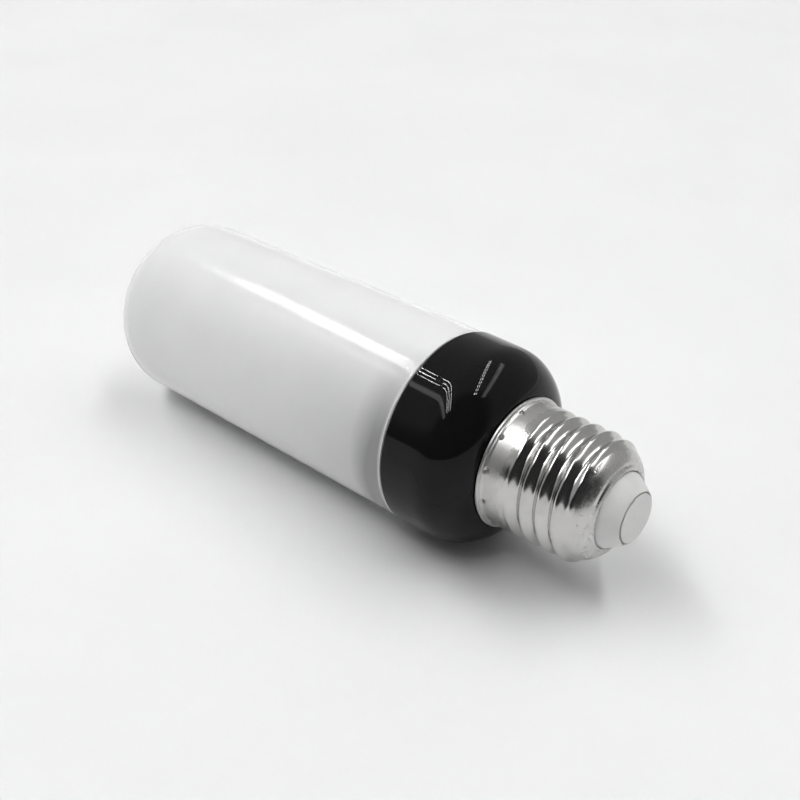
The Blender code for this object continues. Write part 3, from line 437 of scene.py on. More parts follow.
class Bench(Wiring):
    """A material's nodes round its Principled shader, with patterns read on the bulb's axis."""

    def __init__(self, name: str, axis: BulbAxis) -> None:
        """Start the material.

        Args:
            name: the material's name.
            axis: the axis that its patterns follow.
        """
        self.material = bpy.data.materials.new(name)
        self.material.use_nodes = True
        super().__init__(self.material.node_tree)
        self.axis = axis
        self.shader = self.tree.nodes["Principled BSDF"]

    def set(self, **values: float) -> None:
        """Set the shader's own sockets, named with underscores for spaces."""
        for name, value in values.items():
            self.shader.inputs[name.replace("_", " ")].default_value = value

    def place(self, stretch: Triple = (1.0, 1.0, 1.0)) -> Socket:
        """Read coordinates on the bulb's axis in mm, with z along it from the contact.

        Args:
            stretch: how much finer than 1 mm the pattern is read along each of them.

        Returns:
            The socket of the coordinates.
        """
        back = self.axis.matrix.inverted()
        turned = self.add("Mapping")
        turned.inputs["Rotation"].default_value = back.to_euler()
        turned.inputs["Scale"].default_value = (1 / MM,) * 3
        turned.inputs["Location"].default_value = back.translation / MM
        self.join(self.add("TexCoord").outputs["Object"], turned.inputs["Vector"])
        if stretch == (1.0, 1.0, 1.0):
            return turned.outputs["Vector"]
        return self.scaled(turned.outputs["Vector"], stretch)

    def scaled(self, place: Socket, scale: Triple) -> Socket:
        """Stretch or flatten coordinates.

        Args:
            place: the coordinates.
            scale: what each of them is multiplied by.

        Returns:
            The socket of the new coordinates.
        """
        node = self.add("Mapping")
        node.inputs["Scale"].default_value = scale
        self.join(place, node.inputs["Vector"])
        return node.outputs["Vector"]

    def specks(self, place: Socket, scale: float, size: float) -> Socket:
        """Scatter small round spots with a soft edge.

        Args:
            place: the coordinates that they are read at.
            scale: how many spots lie in each unit of them.
            size: a spot's radius, as a share of its cell.

        Returns:
            The socket that is 1 on a spot and 0 elsewhere.
        """
        cells = self.add("TexVoronoi")
        cells.inputs["Scale"].default_value = scale
        self.join(place, cells.inputs["Vector"])
        return self.span(cells.outputs["Distance"], (size, size / 2))

    def blend(self, share: Socket, first: Colour | Socket, last: Colour | Socket) -> Socket:
        """Mix two colours.

        Args:
            share: how much of the last one shows.
            first: the colour at a share of 0.
            last: the colour at a share of 1.

        Returns:
            The socket of the mixed colour.
        """
        node = self.add("Mix", data_type="RGBA")
        self.join(share, node.inputs["Factor"])
        for socket, colour in ((node.inputs[6], first), (node.inputs[7], last)):
            if isinstance(colour, tuple):
                socket.default_value = (*colour, 1.0)
            else:
                self.join(colour, socket)
        return node.outputs[2]

    def colour(self, socket: Socket) -> None:
        """Use a socket as the base colour."""
        self.join(socket, self.shader.inputs["Base Color"])

    def roughness(self, socket: Socket) -> None:
        """Use a socket as the roughness."""
        self.join(socket, self.shader.inputs["Roughness"])

    def smear(self, noise: Socket, level: float, spread: Pair, reach: Pair = EVEN) -> Socket:
        """Let a roughness vary with a noise, from level + spread[0] to level + spread[1]."""
        return self.span(noise, reach, level + spread[0], level + spread[1])

    def relief(self, height: Socket, depth: float) -> None:
        """Raise the surface.

        Args:
            height: a height map between 0 and 1.
            depth: its depth in metres.
        """
        node = self.add("Bump")
        node.inputs["Strength"].default_value = 1.0
        node.inputs["Distance"].default_value = depth
        self.join(height, node.inputs["Height"])
        self.join(node.outputs["Normal"], self.shader.inputs["Normal"])


@dataclass(frozen=True)
class Finish:
    """What a slot of the record looks like. Each kind of finish lays a pattern of its own."""

    name: str
    axis: BulbAxis

    def build(self) -> bpy.types.Material:
        """Make the material under the slot's name.

        Returns:
            The material.
        """
        bench = Bench(self.name, self.axis)
        self.lay(bench, bench.place())
        return bench.material

    def lay(self, bench: Bench, place: Socket) -> None:
        """Wire the pattern.

        Args:
            bench: the material's nodes.
            place: coordinates on the bulb's axis in mm.
        """
        raise NotImplementedError


@dataclass(frozen=True)
class OpalPlastic(Finish):
    """Satin opal plastic with painted shade: greyer on its low side, over the black spigot inside
    and towards the black collar.

    Lengths are in millimetres. The spigot's band of painted shade is full, starts to fade and ends
    at three distances from the joint, and the painted shade towards the collar falls as
    e^(-distance / length).
    """

    # Painted shade: the second colour below is mixed into the white in a band over the spigot, in a
    # fall towards the collar, and most on the shaded low side.
    white: Colour = (0.86, 0.86, 0.86)
    painted_shade_grey: Colour = (0.30, 0.30, 0.30)
    radius: float = 20.9
    pale_edge: float = 0.3
    spigot_shade_band: Triple = (1.2, 3.2, 8.5)
    spigot_shade_share: float = 0.58
    collar_shade_share: float = 0.64
    collar_shade_length: float = 24.0
    shaded_side: Triple = (-0.34, -0.94, 0.0)
    shaded_side_reach: Pair = (-0.1, 0.95)
    cloud_scale: float = 0.09
    cloud_level: float = 0.97
    roughness: float = 0.11
    smear_scale: float = 0.5
    smear_spread: Pair = (-0.02, 0.03)
    grain_scale: float = 1.6
    grain_depth: float = 0.003 * MM
    specular: float = 0.36

    def lay(self, bench: Bench, place: Socket) -> None:
        """Lay the colour, gloss and relief."""
        # Painted shade: the band over the spigot and the fall towards the collar, strongest on the
        # low side, darken the white.
        above = bench.maths("SUBTRACT", bench.part(place, "Z"), self.axis.joint / MM)
        band_full, band_fades, band_ends = self.spigot_shade_band
        rise = bench.span(above, (self.pale_edge, band_full))
        sink = bench.span(above, (band_fades, band_ends), 1.0, 0.0)
        band = bench.times(rise, sink, self.spigot_shade_share)
        fall = bench.maths("POWER", math.e, bench.maths("DIVIDE", above, -self.collar_shade_length))
        fall = bench.times(fall, rise, self.collar_shade_share)
        reach = (self.shaded_side_reach[0] * self.radius, self.shaded_side_reach[1] * self.radius)
        low = bench.span(bench.toward(place, self.shaded_side), reach)
        share = bench.times(low, bench.maths("ADD", band, fall))
        cloud = bench.span(bench.noise(place, self.cloud_scale, detail=2.0), EVEN, self.cloud_level)
        bench.colour(bench.blend(cloud, (0.0, 0.0, 0.0), bench.blend(share, self.white, self.painted_shade_grey)))
        smear = bench.noise(place, self.smear_scale)
        bench.roughness(bench.smear(smear, self.roughness, self.smear_spread))
        bench.relief(bench.noise(place, self.grain_scale, detail=4.0), self.grain_depth)
        bench.set(IOR=PLASTIC_IOR, Specular_IOR_Level=self.specular)


@dataclass(frozen=True)
class BlackGloss(Finish):
    """Polished black plastic with a few specks of dust and hair-fine scratches."""

    black: Colour = (0.0065, 0.0065, 0.0065)
    dust: Colour = (0.16, 0.16, 0.155)
    dust_scale: float = 0.16
    dust_size: float = 0.035
    dust_patches: float = 0.12
    dust_reach: Pair = (0.52, 0.6)
    dust_roughness: float = 0.3
    roughness: float = 0.015
    smear_scale: float = 0.18
    smear_reach: Pair = (0.4, 0.75)
    smear_spread: Pair = (0.0, 0.05)
    scratch_stretch: Triple = (0.25, 5.0, 1.2)
    scratch_depth: float = 0.001 * MM
    specular: float = 0.17

    def lay(self, bench: Bench, place: Socket) -> None:
        """Lay the colour, gloss and relief."""
        patches = bench.span(bench.noise(place, self.dust_patches), self.dust_reach)
        dust = bench.times(bench.specks(place, self.dust_scale, self.dust_size), patches)
        bench.colour(bench.blend(dust, self.black, self.dust))
        smear = bench.smear(bench.noise(place, self.smear_scale, detail=5.0), self.roughness,
                            self.smear_spread, self.smear_reach)
        bench.roughness(bench.maths("ADD", smear, bench.times(dust, self.dust_roughness)))
        scratches = bench.noise(bench.place(self.scratch_stretch), detail=2.0)
        bench.relief(scratches, self.scratch_depth)
        bench.set(IOR=PLASTIC_IOR, Specular_IOR_Level=self.specular)


@dataclass(frozen=True)
class RolledNickel(Finish):
    """Bright nickel on rolled sheet, with drawing lines round it, pits and faint tarnish.

    The thread is smoother than the plain skirt and nose, each of which starts at the first and is
    plain at the second of two heights in millimetres.
    """

    bright: Colour = (0.57, 0.565, 0.555)
    dull: Colour = (0.46, 0.455, 0.445)
    pitted: Colour = (0.18, 0.175, 0.17)
    tarnish_scale: float = 0.35
    tarnish_reach: Pair = (0.45, 0.75)
    tarnish_share: float = 0.5
    pit_scale: float = 0.5
    pit_size: float = 0.05
    pit_share: float = 0.4
    thread_roughness: float = 0.13
    plain_roughness: float = 0.34
    skirt_from: Pair = (21.5, 24.0)
    nose_from: Pair = (7.5, 6.0)
    nose_share: float = 0.6
    wear_scale: float = 0.8
    wear_reach: Pair = (0.3, 0.75)
    wear_spread: Pair = (-0.02, 0.05)
    line_stretch: Triple = (0.12, 0.12, 6.0)
    line_share: float = 0.35
    relief_depth: float = 0.005 * MM

    def lay(self, bench: Bench, place: Socket) -> None:
        """Lay the colour, gloss and relief."""
        tarnish = bench.span(bench.noise(place, self.tarnish_scale, detail=6.0),
                             self.tarnish_reach, last=self.tarnish_share)
        pits = bench.specks(place, self.pit_scale, self.pit_size)
        bright = bench.blend(tarnish, self.bright, self.dull)
        bench.colour(bench.blend(bench.times(pits, self.pit_share), bright, self.pitted))
        height = bench.part(place, "Z")
        plain = bench.maths("MAXIMUM", bench.span(height, self.skirt_from),
                            bench.span(height, self.nose_from, last=self.nose_share))
        level = bench.span(plain, (0.0, 1.0), self.thread_roughness, self.plain_roughness)
        worn = bench.span(bench.noise(place, self.wear_scale, detail=5.0), self.wear_reach,
                          *self.wear_spread)
        bench.roughness(bench.maths("ADD", level, worn))
        lines = bench.times(bench.noise(bench.place(self.line_stretch)), self.line_share)
        bench.relief(bench.maths("SUBTRACT", lines, pits), self.relief_depth)
        bench.set(Metallic=1.0)


@dataclass(frozen=True)
class TinnedContact(Finish):
    """Matt tin on the round contact, with rub marks."""

    tin: Colour = (0.70, 0.70, 0.69)
    rubbed: Colour = (0.40, 0.39, 0.38)
    rub_stretch: Triple = (2.2, 0.35, 1.0)
    rub_reach: Pair = (0.60, 0.70)
    rub_share: float = 0.25
    roughness: float = 0.42
    smear_scale: float = 1.2
    smear_spread: Pair = (-0.08, 0.1)
    grain_scale: float = 1.0
    grain_depth: float = 0.012 * MM
    metallic: float = 0.3

    def lay(self, bench: Bench, place: Socket) -> None:
        """Lay the colour, gloss and relief."""
        rubs = bench.span(bench.noise(bench.place(self.rub_stretch), detail=6.0), self.rub_reach)
        bench.colour(bench.blend(bench.times(rubs, self.rub_share), self.tin, self.rubbed))
        smear = bench.noise(place, self.smear_scale, detail=5.0)
        bench.roughness(bench.smear(smear, self.roughness, self.smear_spread))
        bench.relief(bench.noise(place, self.grain_scale, detail=4.0), self.grain_depth)
        bench.set(Metallic=self.metallic)


@dataclass(frozen=True)
class Mottled(Finish):
    """A plain finish whose colour, gloss and relief vary a little over the surface."""

    colour: Colour
    second: Colour
    scale: float = 0.6
    roughness: float = 0.45
    relief: float = 0.01 * MM
    metallic: float = 0.0
    second_reach: Pair = (0.35, 0.7)
    smear_finer: float = 2.0
    smear_spread: Pair = (-0.06, 0.08)
    grain_finer: float = 5.0

    def lay(self, bench: Bench, place: Socket) -> None:
        """Lay the colour, gloss and relief."""
        share = bench.span(bench.noise(place, self.scale, detail=4.0), self.second_reach)
        bench.colour(bench.blend(share, self.colour, self.second))
        smear = bench.noise(place, self.scale * self.smear_finer)
        bench.roughness(bench.smear(smear, self.roughness, self.smear_spread))
        grain = bench.noise(place, self.scale * self.grain_finer, detail=4.0)
        bench.relief(grain, self.relief)
        bench.set(Metallic=self.metallic)


@dataclass(frozen=True)
class LampBoard(Finish):
    """White lamp board whose raised packages carry a yellow phosphor window."""

    board: Colour = (0.86, 0.85, 0.80)
    shaded: Colour = (0.62, 0.61, 0.56)
    phosphor: Colour = (0.86, 0.66, 0.16)
    window_radius: float = 12.2
    window_edge: float = 0.05
    shade_scale: float = 3.0
    shade_level: float = 0.9
    grain_scale: float = 4.0
    grain_depth: float = 0.01 * MM
    roughness: float = 0.42

    def lay(self, bench: Bench, place: Socket) -> None:
        """Lay the board's white and, from a radius in mm on, the packages' windows."""
        away = bench.add("VectorMath", operation="LENGTH")
        bench.join(bench.scaled(place, (1.0, 1.0, 0.0)), away.inputs[0])
        reach = (self.window_radius - self.window_edge, self.window_radius)
        raised = bench.span(away.outputs["Value"], reach)
        shade = bench.span(bench.noise(place, self.shade_scale), EVEN, self.shade_level)
        white = bench.blend(shade, self.shaded, self.board)
        bench.colour(bench.blend(raised, white, self.phosphor))
        bench.relief(bench.noise(place, self.grain_scale), self.grain_depth)
        bench.set(Roughness=self.roughness)


@dataclass(frozen=True)
class CircuitBoard(Finish):
    """Green solder mask over copper tracks that run along and across the board."""

    mask: Colour = (0.035, 0.20, 0.08)
    over_copper: Colour = (0.07, 0.33, 0.13)
    track_scale: float = 0.5
    track_width: float = 0.06
    track_depth: float = 0.02 * MM
    roughness: float = 0.35

    def lay(self, bench: Bench, place: Socket) -> None:
        """Lay the colour, gloss and relief."""
        tracks = bench.add("TexBrick")
        tracks.inputs["Scale"].default_value = self.track_scale
        tracks.inputs["Mortar Size"].default_value = self.track_width
        tracks.inputs["Mortar"].default_value = (*self.over_copper, 1.0)
        for name in ("Color1", "Color2"):
            tracks.inputs[name].default_value = (*self.mask, 1.0)
        upright = bench.add("Mapping")
        upright.inputs["Rotation"].default_value = (math.pi / 2, 0.0, 0.0)
        bench.join(place, upright.inputs["Vector"])
        bench.join(upright.outputs["Vector"], tracks.inputs["Vector"])
        bench.colour(tracks.outputs["Color"])
        bench.relief(tracks.outputs["Fac"], self.track_depth)
        bench.set(Roughness=self.roughness)


@dataclass(frozen=True)
class WoundCopper(Finish):
    """Enamelled copper wire wound in close turns, with painted shade in the creases between them.
    """

    copper: Colour = (0.62, 0.25, 0.09)
    between: Colour = (0.16, 0.05, 0.02)
    turns_each_mm: float = 1.6
    unevenness: float = 0.4
    turn_depth: float = 0.12 * MM
    roughness: float = 0.3

    def lay(self, bench: Bench, place: Socket) -> None:
        """Lay the colour, gloss and relief."""
        wires = bench.add("TexWave", wave_type="BANDS", bands_direction="Y")
        wires.inputs["Scale"].default_value = self.turns_each_mm
        wires.inputs["Distortion"].default_value = self.unevenness
        bench.join(place, wires.inputs["Vector"])
        # Painted shade: the darker colour lies in the creases between the turns.
        bench.colour(bench.blend(wires.outputs["Fac"], self.between, self.copper))
        bench.relief(wires.outputs["Fac"], self.turn_depth)
        bench.set(Metallic=1.0, Roughness=self.roughness)


@dataclass
class Diffuser:
    """Long opal cup: a drafted tube with a full dome, open at its mouth."""

    turning: Turning
    radius: float = 20.9 * MM
    draft: float = 0.0056
    wall: float = 1.5 * MM
    mouth_gap: float = 0.3 * MM
    lip: float = 0.3 * MM
    fullness: float = 2.12
    tip_turn: float = 0.004
    dome_rows: int = 60
    tube_rows: int = 40
    lip_rows: int = 6

    def dome(self, radius: float, rise: float) -> np.ndarray:
        """Meridian of the dome, from its tip outwards.

        It is the superellipse r = R sin(t)^(2/n), h = H cos(t)^(2/n) above the end of the tube,
        with n the fullness.

        Args:
            radius: R, the dome's radius where it meets the tube.
            rise: H, its height above the tube's end.

        Returns:
            Rows of (radius, height).
        """
        turn = np.linspace(self.tip_turn, math.pi / 2, self.dome_rows)
        base = self.turning.axis.tip - self.turning.axis.dome_height
        power = 2.0 / self.fullness
        across, tall = np.sin(turn) ** power, np.cos(turn) ** power
        return np.stack((radius * across, base + rise * tall), axis=-1)

    def build(self) -> bpy.types.Object:
        """Make the diffuser: dome and tube outside, rounded mouth, bore and dome inside.

        Returns:
            The diffuser.
        """
        axis = self.turning.axis
        mouth = axis.joint + self.mouth_gap
        far = self.radius - self.draft * (axis.diffuser_length - axis.dome_height)
        outer = self.dome(far, axis.dome_height)
        inner = self.dome(far - self.wall, axis.dome_height - self.wall)[::-1]
        side = run(tuple(outer[-1]), (self.radius, mouth + self.lip), self.tube_rows)[1:]
        corner = (self.radius - self.lip, mouth + self.lip)
        edge = bow(corner, self.lip, 0.0, -90.0, self.lip_rows)[1:]
        bore = self.radius - self.wall
        floor = np.array([(bore + self.lip, mouth), (bore, mouth + self.lip)])
        profile = np.concatenate((outer, side, edge, floor, inner))
        return self.turning.turned("opal_tube", profile, Ends.POLES)


@dataclass
class Collar:
    """Glossy collar: spigot, rim, drafted body, round shoulder and the neck that the cap grips."""

    turning: Turning
    rim_radius: float = 21.15 * MM
    edge: float = 0.35 * MM
    draft: float = 0.014
    bend_from: tuple[float, ...] = (7.3 * MM, 9.8 * MM, 11.0 * MM, 12.5 * MM)
    bend_radius: float = 8.0 * MM
    shoulder_radius: float = 11.5 * MM
    wall: float = 1.8 * MM
    spigot_radius: float = 19.1 * MM
    spigot_height: float = 5.0 * MM
    spigot_wall: float = 1.5 * MM
    neck_radius: float = 11.35 * MM
    neck_bore: float = 9.85 * MM
    neck_length: float = 6.9 * MM
    seat_gap: float = 0.3 * MM
    rim_arc: Pair = (80.0, 5.0)
    rim_rows: int = 8
    side_rows: int = 110
    inside_step: int = 4

    def side(self) -> tuple[np.ndarray, np.ndarray]:
        """Outside of the collar from its rim to its seat, worked out from its curvature.

        The curvature is 0 on the body, rises to 1 / B where the shoulder starts and falls back to
        1 / S on the shoulder. Its running sum gives the sine of the lean, from the draft on, and
        the running sum of the lean's tangent is what the radius loses.

        Returns:
            Rows of (radius, height), and the lean of each row in radians.
        """
        axis = self.turning.axis
        down = np.linspace(self.edge, axis.collar_length - self.seat_gap, self.side_rows)
        bends = (0.0, 1.0 / self.bend_radius, 1.0 / self.bend_radius, 1.0 / self.shoulder_radius)
        curvature = np.interp(down, self.bend_from, bends)
        step = down[1] - down[0]
        middle = (curvature[1:] + curvature[:-1]) / 2
        lean = np.arcsin(self.draft + np.concatenate(([0.0], np.cumsum(middle) * step)))
        slope = np.tan(lean)
        lost = np.concatenate(([0.0], np.cumsum((slope[1:] + slope[:-1]) / 2) * step))
        return np.stack((self.rim_radius - lost, axis.joint - down), axis=-1), lean

    def build(self) -> bpy.types.Object:
        """Make the collar as one closed wall, down its outside and back up its inside.

        Returns:
            The collar.
        """
        axis = self.turning.axis
        joint, seat = axis.joint, axis.cap_length + self.seat_gap
        side, lean = self.side()
        bore, face = self.spigot_radius - self.spigot_wall, self.rim_radius - self.edge
        floor, top = seat + self.wall, joint + self.spigot_height
        spigot = [(bore, top), (self.spigot_radius, top), (self.spigot_radius, joint),
                  (face, joint)]
        rim = bow((face, joint - self.edge), self.edge, *self.rim_arc, self.rim_rows)
        neck_end = seat - self.neck_length
        neck = [(self.neck_radius, seat), (self.neck_radius, neck_end), (self.neck_bore, neck_end),
                (self.neck_bore, floor)]
        inside = side + self.wall * np.stack((-np.cos(lean), np.sin(lean)), axis=-1)
        inside = inside[(inside[:, 0] < bore) & (inside[:, 1] > floor)][::-self.inside_step]
        profile = np.concatenate((spigot, rim, side, neck, inside))
        return self.turning.turned("collar_shell", profile, Ends.JOINED)


@dataclass
class ScrewShell:
    """Threaded metal shell: stepped rim, punched skirt, rolled thread, round nose and rolled lip.

    The rim's two steps start and end at distances from its top. The thread fades in and out between
    two heights each. The crimp is its height above the nose's end, its width and its depth.
    """

    turning: Turning
    sheet: float = 0.35 * MM
    pitch: float = 3.629 * MM
    crest_radius: float = 13.1 * MM
    depth: float = 1.1 * MM
    crest_height: float = 21.7 * MM
    run_in: Pair = (22.0 * MM, 20.3 * MM)
    run_out: Pair = (6.7 * MM, 8.9 * MM)
    rim_length: float = 1.5 * MM
    skirt_rise: float = 0.25 * MM
    skirt_step: Pair = (1.3 * MM, 0.7 * MM)
    rim_rise: float = 0.45 * MM
    rim_step: Pair = (0.6 * MM, 0.4 * MM)
    nose_start: float = 8.7 * MM
    nose_end: Pair = (8.45 * MM, 3.9 * MM)
    nose_power: float = 2.3
    lip_round: float = 0.36 * MM
    lip_depth: float = 0.5 * MM
    crimp: Triple = (0.45 * MM, 0.17 * MM, 0.18 * MM)
    dimple_count: int = 12
    dimple_radius: float = 0.6 * MM
    dimple_depth: float = 0.8 * MM
    dimple_from_rim: float = 1.3 * MM
    dimple_turn: float = math.radians(22)
    rim_rows: int = 32
    barrel_rows: int = 112
    nose_rows: int = 58
    roll_rows: int = 12
    lip_rows: int = 4
    inside_step: int = 3

    def meridian(self) -> np.ndarray:
        """The shell's outline without thread or dimples, from its rim to its lip.

        The rim is two eased steps on the barrel. The nose falls from the thread's root radius as
        r = A - (A - E) w^p over the share w of its height, to the radius E, and carries the last of
        the thread's depth. There an arc rolls it inwards and a short straight edge goes back into
        the cap. The crimp is a bell-shaped groove round the nose just before that arc,
        d exp(-((h - k) / b)^2).

        Returns:
            Rows of (radius, height).
        """
        top = self.turning.axis.cap_length
        rim = np.linspace(top, top - self.rim_length, self.rim_rows)
        stepped = np.full(len(rim), self.crest_radius)
        steps = ((self.skirt_rise, self.skirt_step), (self.rim_rise, self.rim_step))
        for rise, (start, end) in steps:
            stepped += rise * smoothstep(top - start, top - end, rim)
        barrel = np.linspace(rim[-1], self.run_out[1], self.barrel_rows)[1:]
        low = np.linspace(barrel[-1], self.nose_end[1], self.nose_rows)[1:]
        root = self.crest_radius - self.depth
        fall, drop = root - self.nose_end[0], self.nose_start - self.nose_end[1]
        way = np.clip((self.nose_start - low) / drop, 0.0, 1.0)
        carried = self.depth * smoothstep(*self.run_out, low)
        nose = np.stack((root - fall * way ** self.nose_power + carried, low), axis=-1)
        above, width, depth = self.crimp
        nose[:, 0] -= depth * np.exp(-((nose[:, 1] - self.nose_end[1] - above) / width) ** 2)
        slope = math.atan2(drop, fall * self.nose_power)
        centre = (self.nose_end[0] - self.lip_round * math.sin(slope),
                  self.nose_end[1] + self.lip_round * math.cos(slope))
        roll = bow(centre, self.lip_round, math.degrees(slope) - 90.0, -180.0, self.roll_rows)[1:]
        edge, tall = roll[-1]
        inward = run((edge, tall), (edge, tall + self.lip_depth), self.lip_rows)[1:]
        radius = np.concatenate((stepped, np.full(len(barrel), self.crest_radius)))
        upper = np.stack((radius, np.concatenate((rim, barrel))), axis=-1)
        return np.concatenate((upper, nose, roll, inward))

    def thread(self, height: np.ndarray) -> np.ndarray:
        """Depth of the rolled thread at each height and turn.

        It is D f (1 - cos(2 pi ((h - c) / p - t / 2 pi))) / 2: a right-hand helix of pitch p whose
        crest at turn 0 is at height c, where f fades the depth D out at both ends.

        Args:
            height: one height for each row.

        Returns:
            Depths by row and turn.
        """
        fade = smoothstep(*self.run_in, height) * smoothstep(*self.run_out, height)
        rise = math.tau * (height[:, None] - self.crest_height) / self.pitch
        wave = np.cos(rise - self.turning.turns[None, :])
        return self.depth * fade[:, None] * (1.0 - wave) / 2.0

    def dimples(self, height: np.ndarray) -> np.ndarray:
        """Depth of the punched dimples at each height and turn.

        Each is a round pit of depth d and radius a: d (1 - q)^2 (1 + 2 q), with q the distance from
        its centre over a, measured over the skirt.

        Args:
            height: one height for each row.

        Returns:
            Depths by row and turn.
        """
        step = math.tau / self.dimple_count
        aside = (self.turning.turns - self.dimple_turn + step / 2) % step - step / 2
        across = self.crest_radius * aside[None, :]
        along = (height - (self.turning.axis.cap_length - self.dimple_from_rim))[:, None]
        away = np.clip(np.hypot(across, along) / self.dimple_radius, 0.0, 1.0)
        return self.dimple_depth * (1.0 - away) ** 2 * (1.0 + 2.0 * away)

    def build(self) -> bpy.types.Object:
        """Make the shell as one closed wall: its outer face, its lip's edge and its inner face.

        Returns:
            The shell.
        """
        outline = self.meridian()
        radius, height = outline[:, 0], outline[:, 1]
        outer = radius[:, None] - self.thread(height) - self.dimples(height)
        slope = np.gradient(outline, axis=0)
        slope /= np.linalg.norm(slope, axis=1, keepdims=True)
        inner = outer + self.sheet * slope[:, 1][:, None]
        inner_height = height - self.sheet * slope[:, 0]
        rings = np.concatenate((self.turning.rings(outer, height),
                                self.turning.rings(inner, inner_height)[::-self.inside_step]))
        return self.turning.mesh("threaded_shell", rings, Ends.JOINED)


@dataclass
class CapInsulator:
    """White cone in the shell's end, full-sided, with a groove round the contact that it holds.

    The rear gives, in millimetres, the corners of the contact's recess, the shank's hole, the boss
    round it, the hollow behind the cone and the flange.
    """

    turning: Turning
    base: Pair = (7.8 * MM, 3.95 * MM)
    end: Pair = (5.36 * MM, 0.28 * MM)
    fullness: float = 0.88
    rear: tuple[Pair, ...] = (
        (5.3, 1.0), (1.6, 1.0), (1.6, 5.2), (3.1, 5.2), (3.1, 2.9), (5.0, 2.9), (7.0, 5.4),
        (7.0, 7.2), (9.95, 7.2), (9.95, 6.0), (7.8, 5.3))
    side_rows: int = 40

    def build(self) -> bpy.types.Object:
        """Make the insulator.

        Its side is r = E + (B - E) s^f over the share s of its height, with the radii E of its end
        and B of its base and the fullness f.

        Returns:
            The insulator.
        """
        share = np.linspace(1.0, 0.0, self.side_rows) ** 2
        start, reach = np.array(self.end), np.subtract(self.base, self.end)
        side = start + reach * np.stack((share ** self.fullness, share), axis=-1)
        profile = np.concatenate((side, np.array(self.rear) * MM))
        return self.turning.turned("insulator_cone", profile, Ends.JOINED)


@dataclass
class CentreContact:
    """Round contact with a rolled edge and a faintly domed face, on its shank."""

    turning: Turning
    radius: float = 5.05 * MM
    thickness: float = 0.45 * MM
    edge: float = 0.12 * MM
    sink: float = 0.03 * MM
    shank_radius: float = 1.3 * MM
    shank_length: float = 7.1 * MM
    middle: float = 0.01
    face_rows: int = 20
    edge_arc: Pair = (-80.0, 0.0)
    edge_rows: int = 8

    def build(self) -> bpy.types.Object:
        """Make the contact: its face falls from the middle by sink (r / R)^4, then rolls over.

        Returns:
            The contact.
        """
        way = np.linspace(self.middle, 1.0, self.face_rows)
        flat = self.radius - self.edge
        face = np.stack((flat * way, self.sink * way ** 4), axis=-1)
        rolled = bow((flat, self.edge + self.sink), self.edge, *self.edge_arc, self.edge_rows)
        rear = [(self.radius, self.thickness), (self.shank_radius, self.thickness),
                (self.shank_radius, self.thickness + self.shank_length)]
        profile = np.concatenate((face, rolled, np.array(rear)))
        return self.turning.turned("contact_disc", profile, Ends.POLES)


@dataclass
class InnerWorks:
    """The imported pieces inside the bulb, which keep their meshes and take new finishes."""

    axis: BulbAxis
    nodes: dict[str, bpy.types.Object]

    def finishes(self) -> dict[str, bpy.types.Material]:
        """Make each finish once.

        Returns:
            Materials by the record's slot name.
        """
        axis = self.axis
        black, worn = (0.02, 0.02, 0.02), (0.035, 0.035, 0.035)
        finishes = [
            Mottled("column_white", axis, (0.80, 0.80, 0.78), (0.74, 0.74, 0.72), 0.3, 0.5),
            Mottled("screw_steel", axis, (0.60, 0.60, 0.58), (0.42, 0.42, 0.40), 1.5, 0.32,
                    metallic=1.0),
            Mottled("can_sleeve", axis, (0.03, 0.03, 0.06), (0.05, 0.05, 0.09), 0.8, 0.35),
            Mottled("ferrite", axis, (0.05, 0.05, 0.05), (0.09, 0.085, 0.08), 3.0, 0.7, 0.04 * MM),
            Mottled("resistor_body", axis, (0.14, 0.33, 0.24), (0.10, 0.26, 0.19), 0.9, 0.4),
            Mottled("chip_black", axis, black, worn, 2.5, 0.55, 0.02 * MM),
            Mottled("red_sleeve", axis, (0.55, 0.03, 0.03), (0.46, 0.02, 0.02), 0.9, 0.4),
            Mottled("black_sleeve", axis, black, worn, 0.9, 0.4),
            Mottled("white_sleeve", axis, (0.76, 0.76, 0.74), (0.68, 0.68, 0.66), 0.9, 0.4),
            LampBoard("lamp_board_white", axis),
            CircuitBoard("board_green", axis),
            WoundCopper("copper_winding", axis),
        ]
        return {finish.name: finish.build() for finish in finishes}

    def dress(self, record: dict, covered: set[str]) -> None:
        """Give every piece that still shows its finish.

        Args:
            record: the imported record, which names each piece's slot.
            covered: nodes that finer pieces stand for.
        """
        made = self.finishes()
        for entry in record["subparts"]:
            if entry["node"] in covered:
                continue
            node = self.nodes[entry["node"]]
            node.data.materials.clear()
            node.data.materials.append(made[entry["material_slot"]])
            LOG.info("dressed %s in %s", entry["node"], entry["material_slot"])


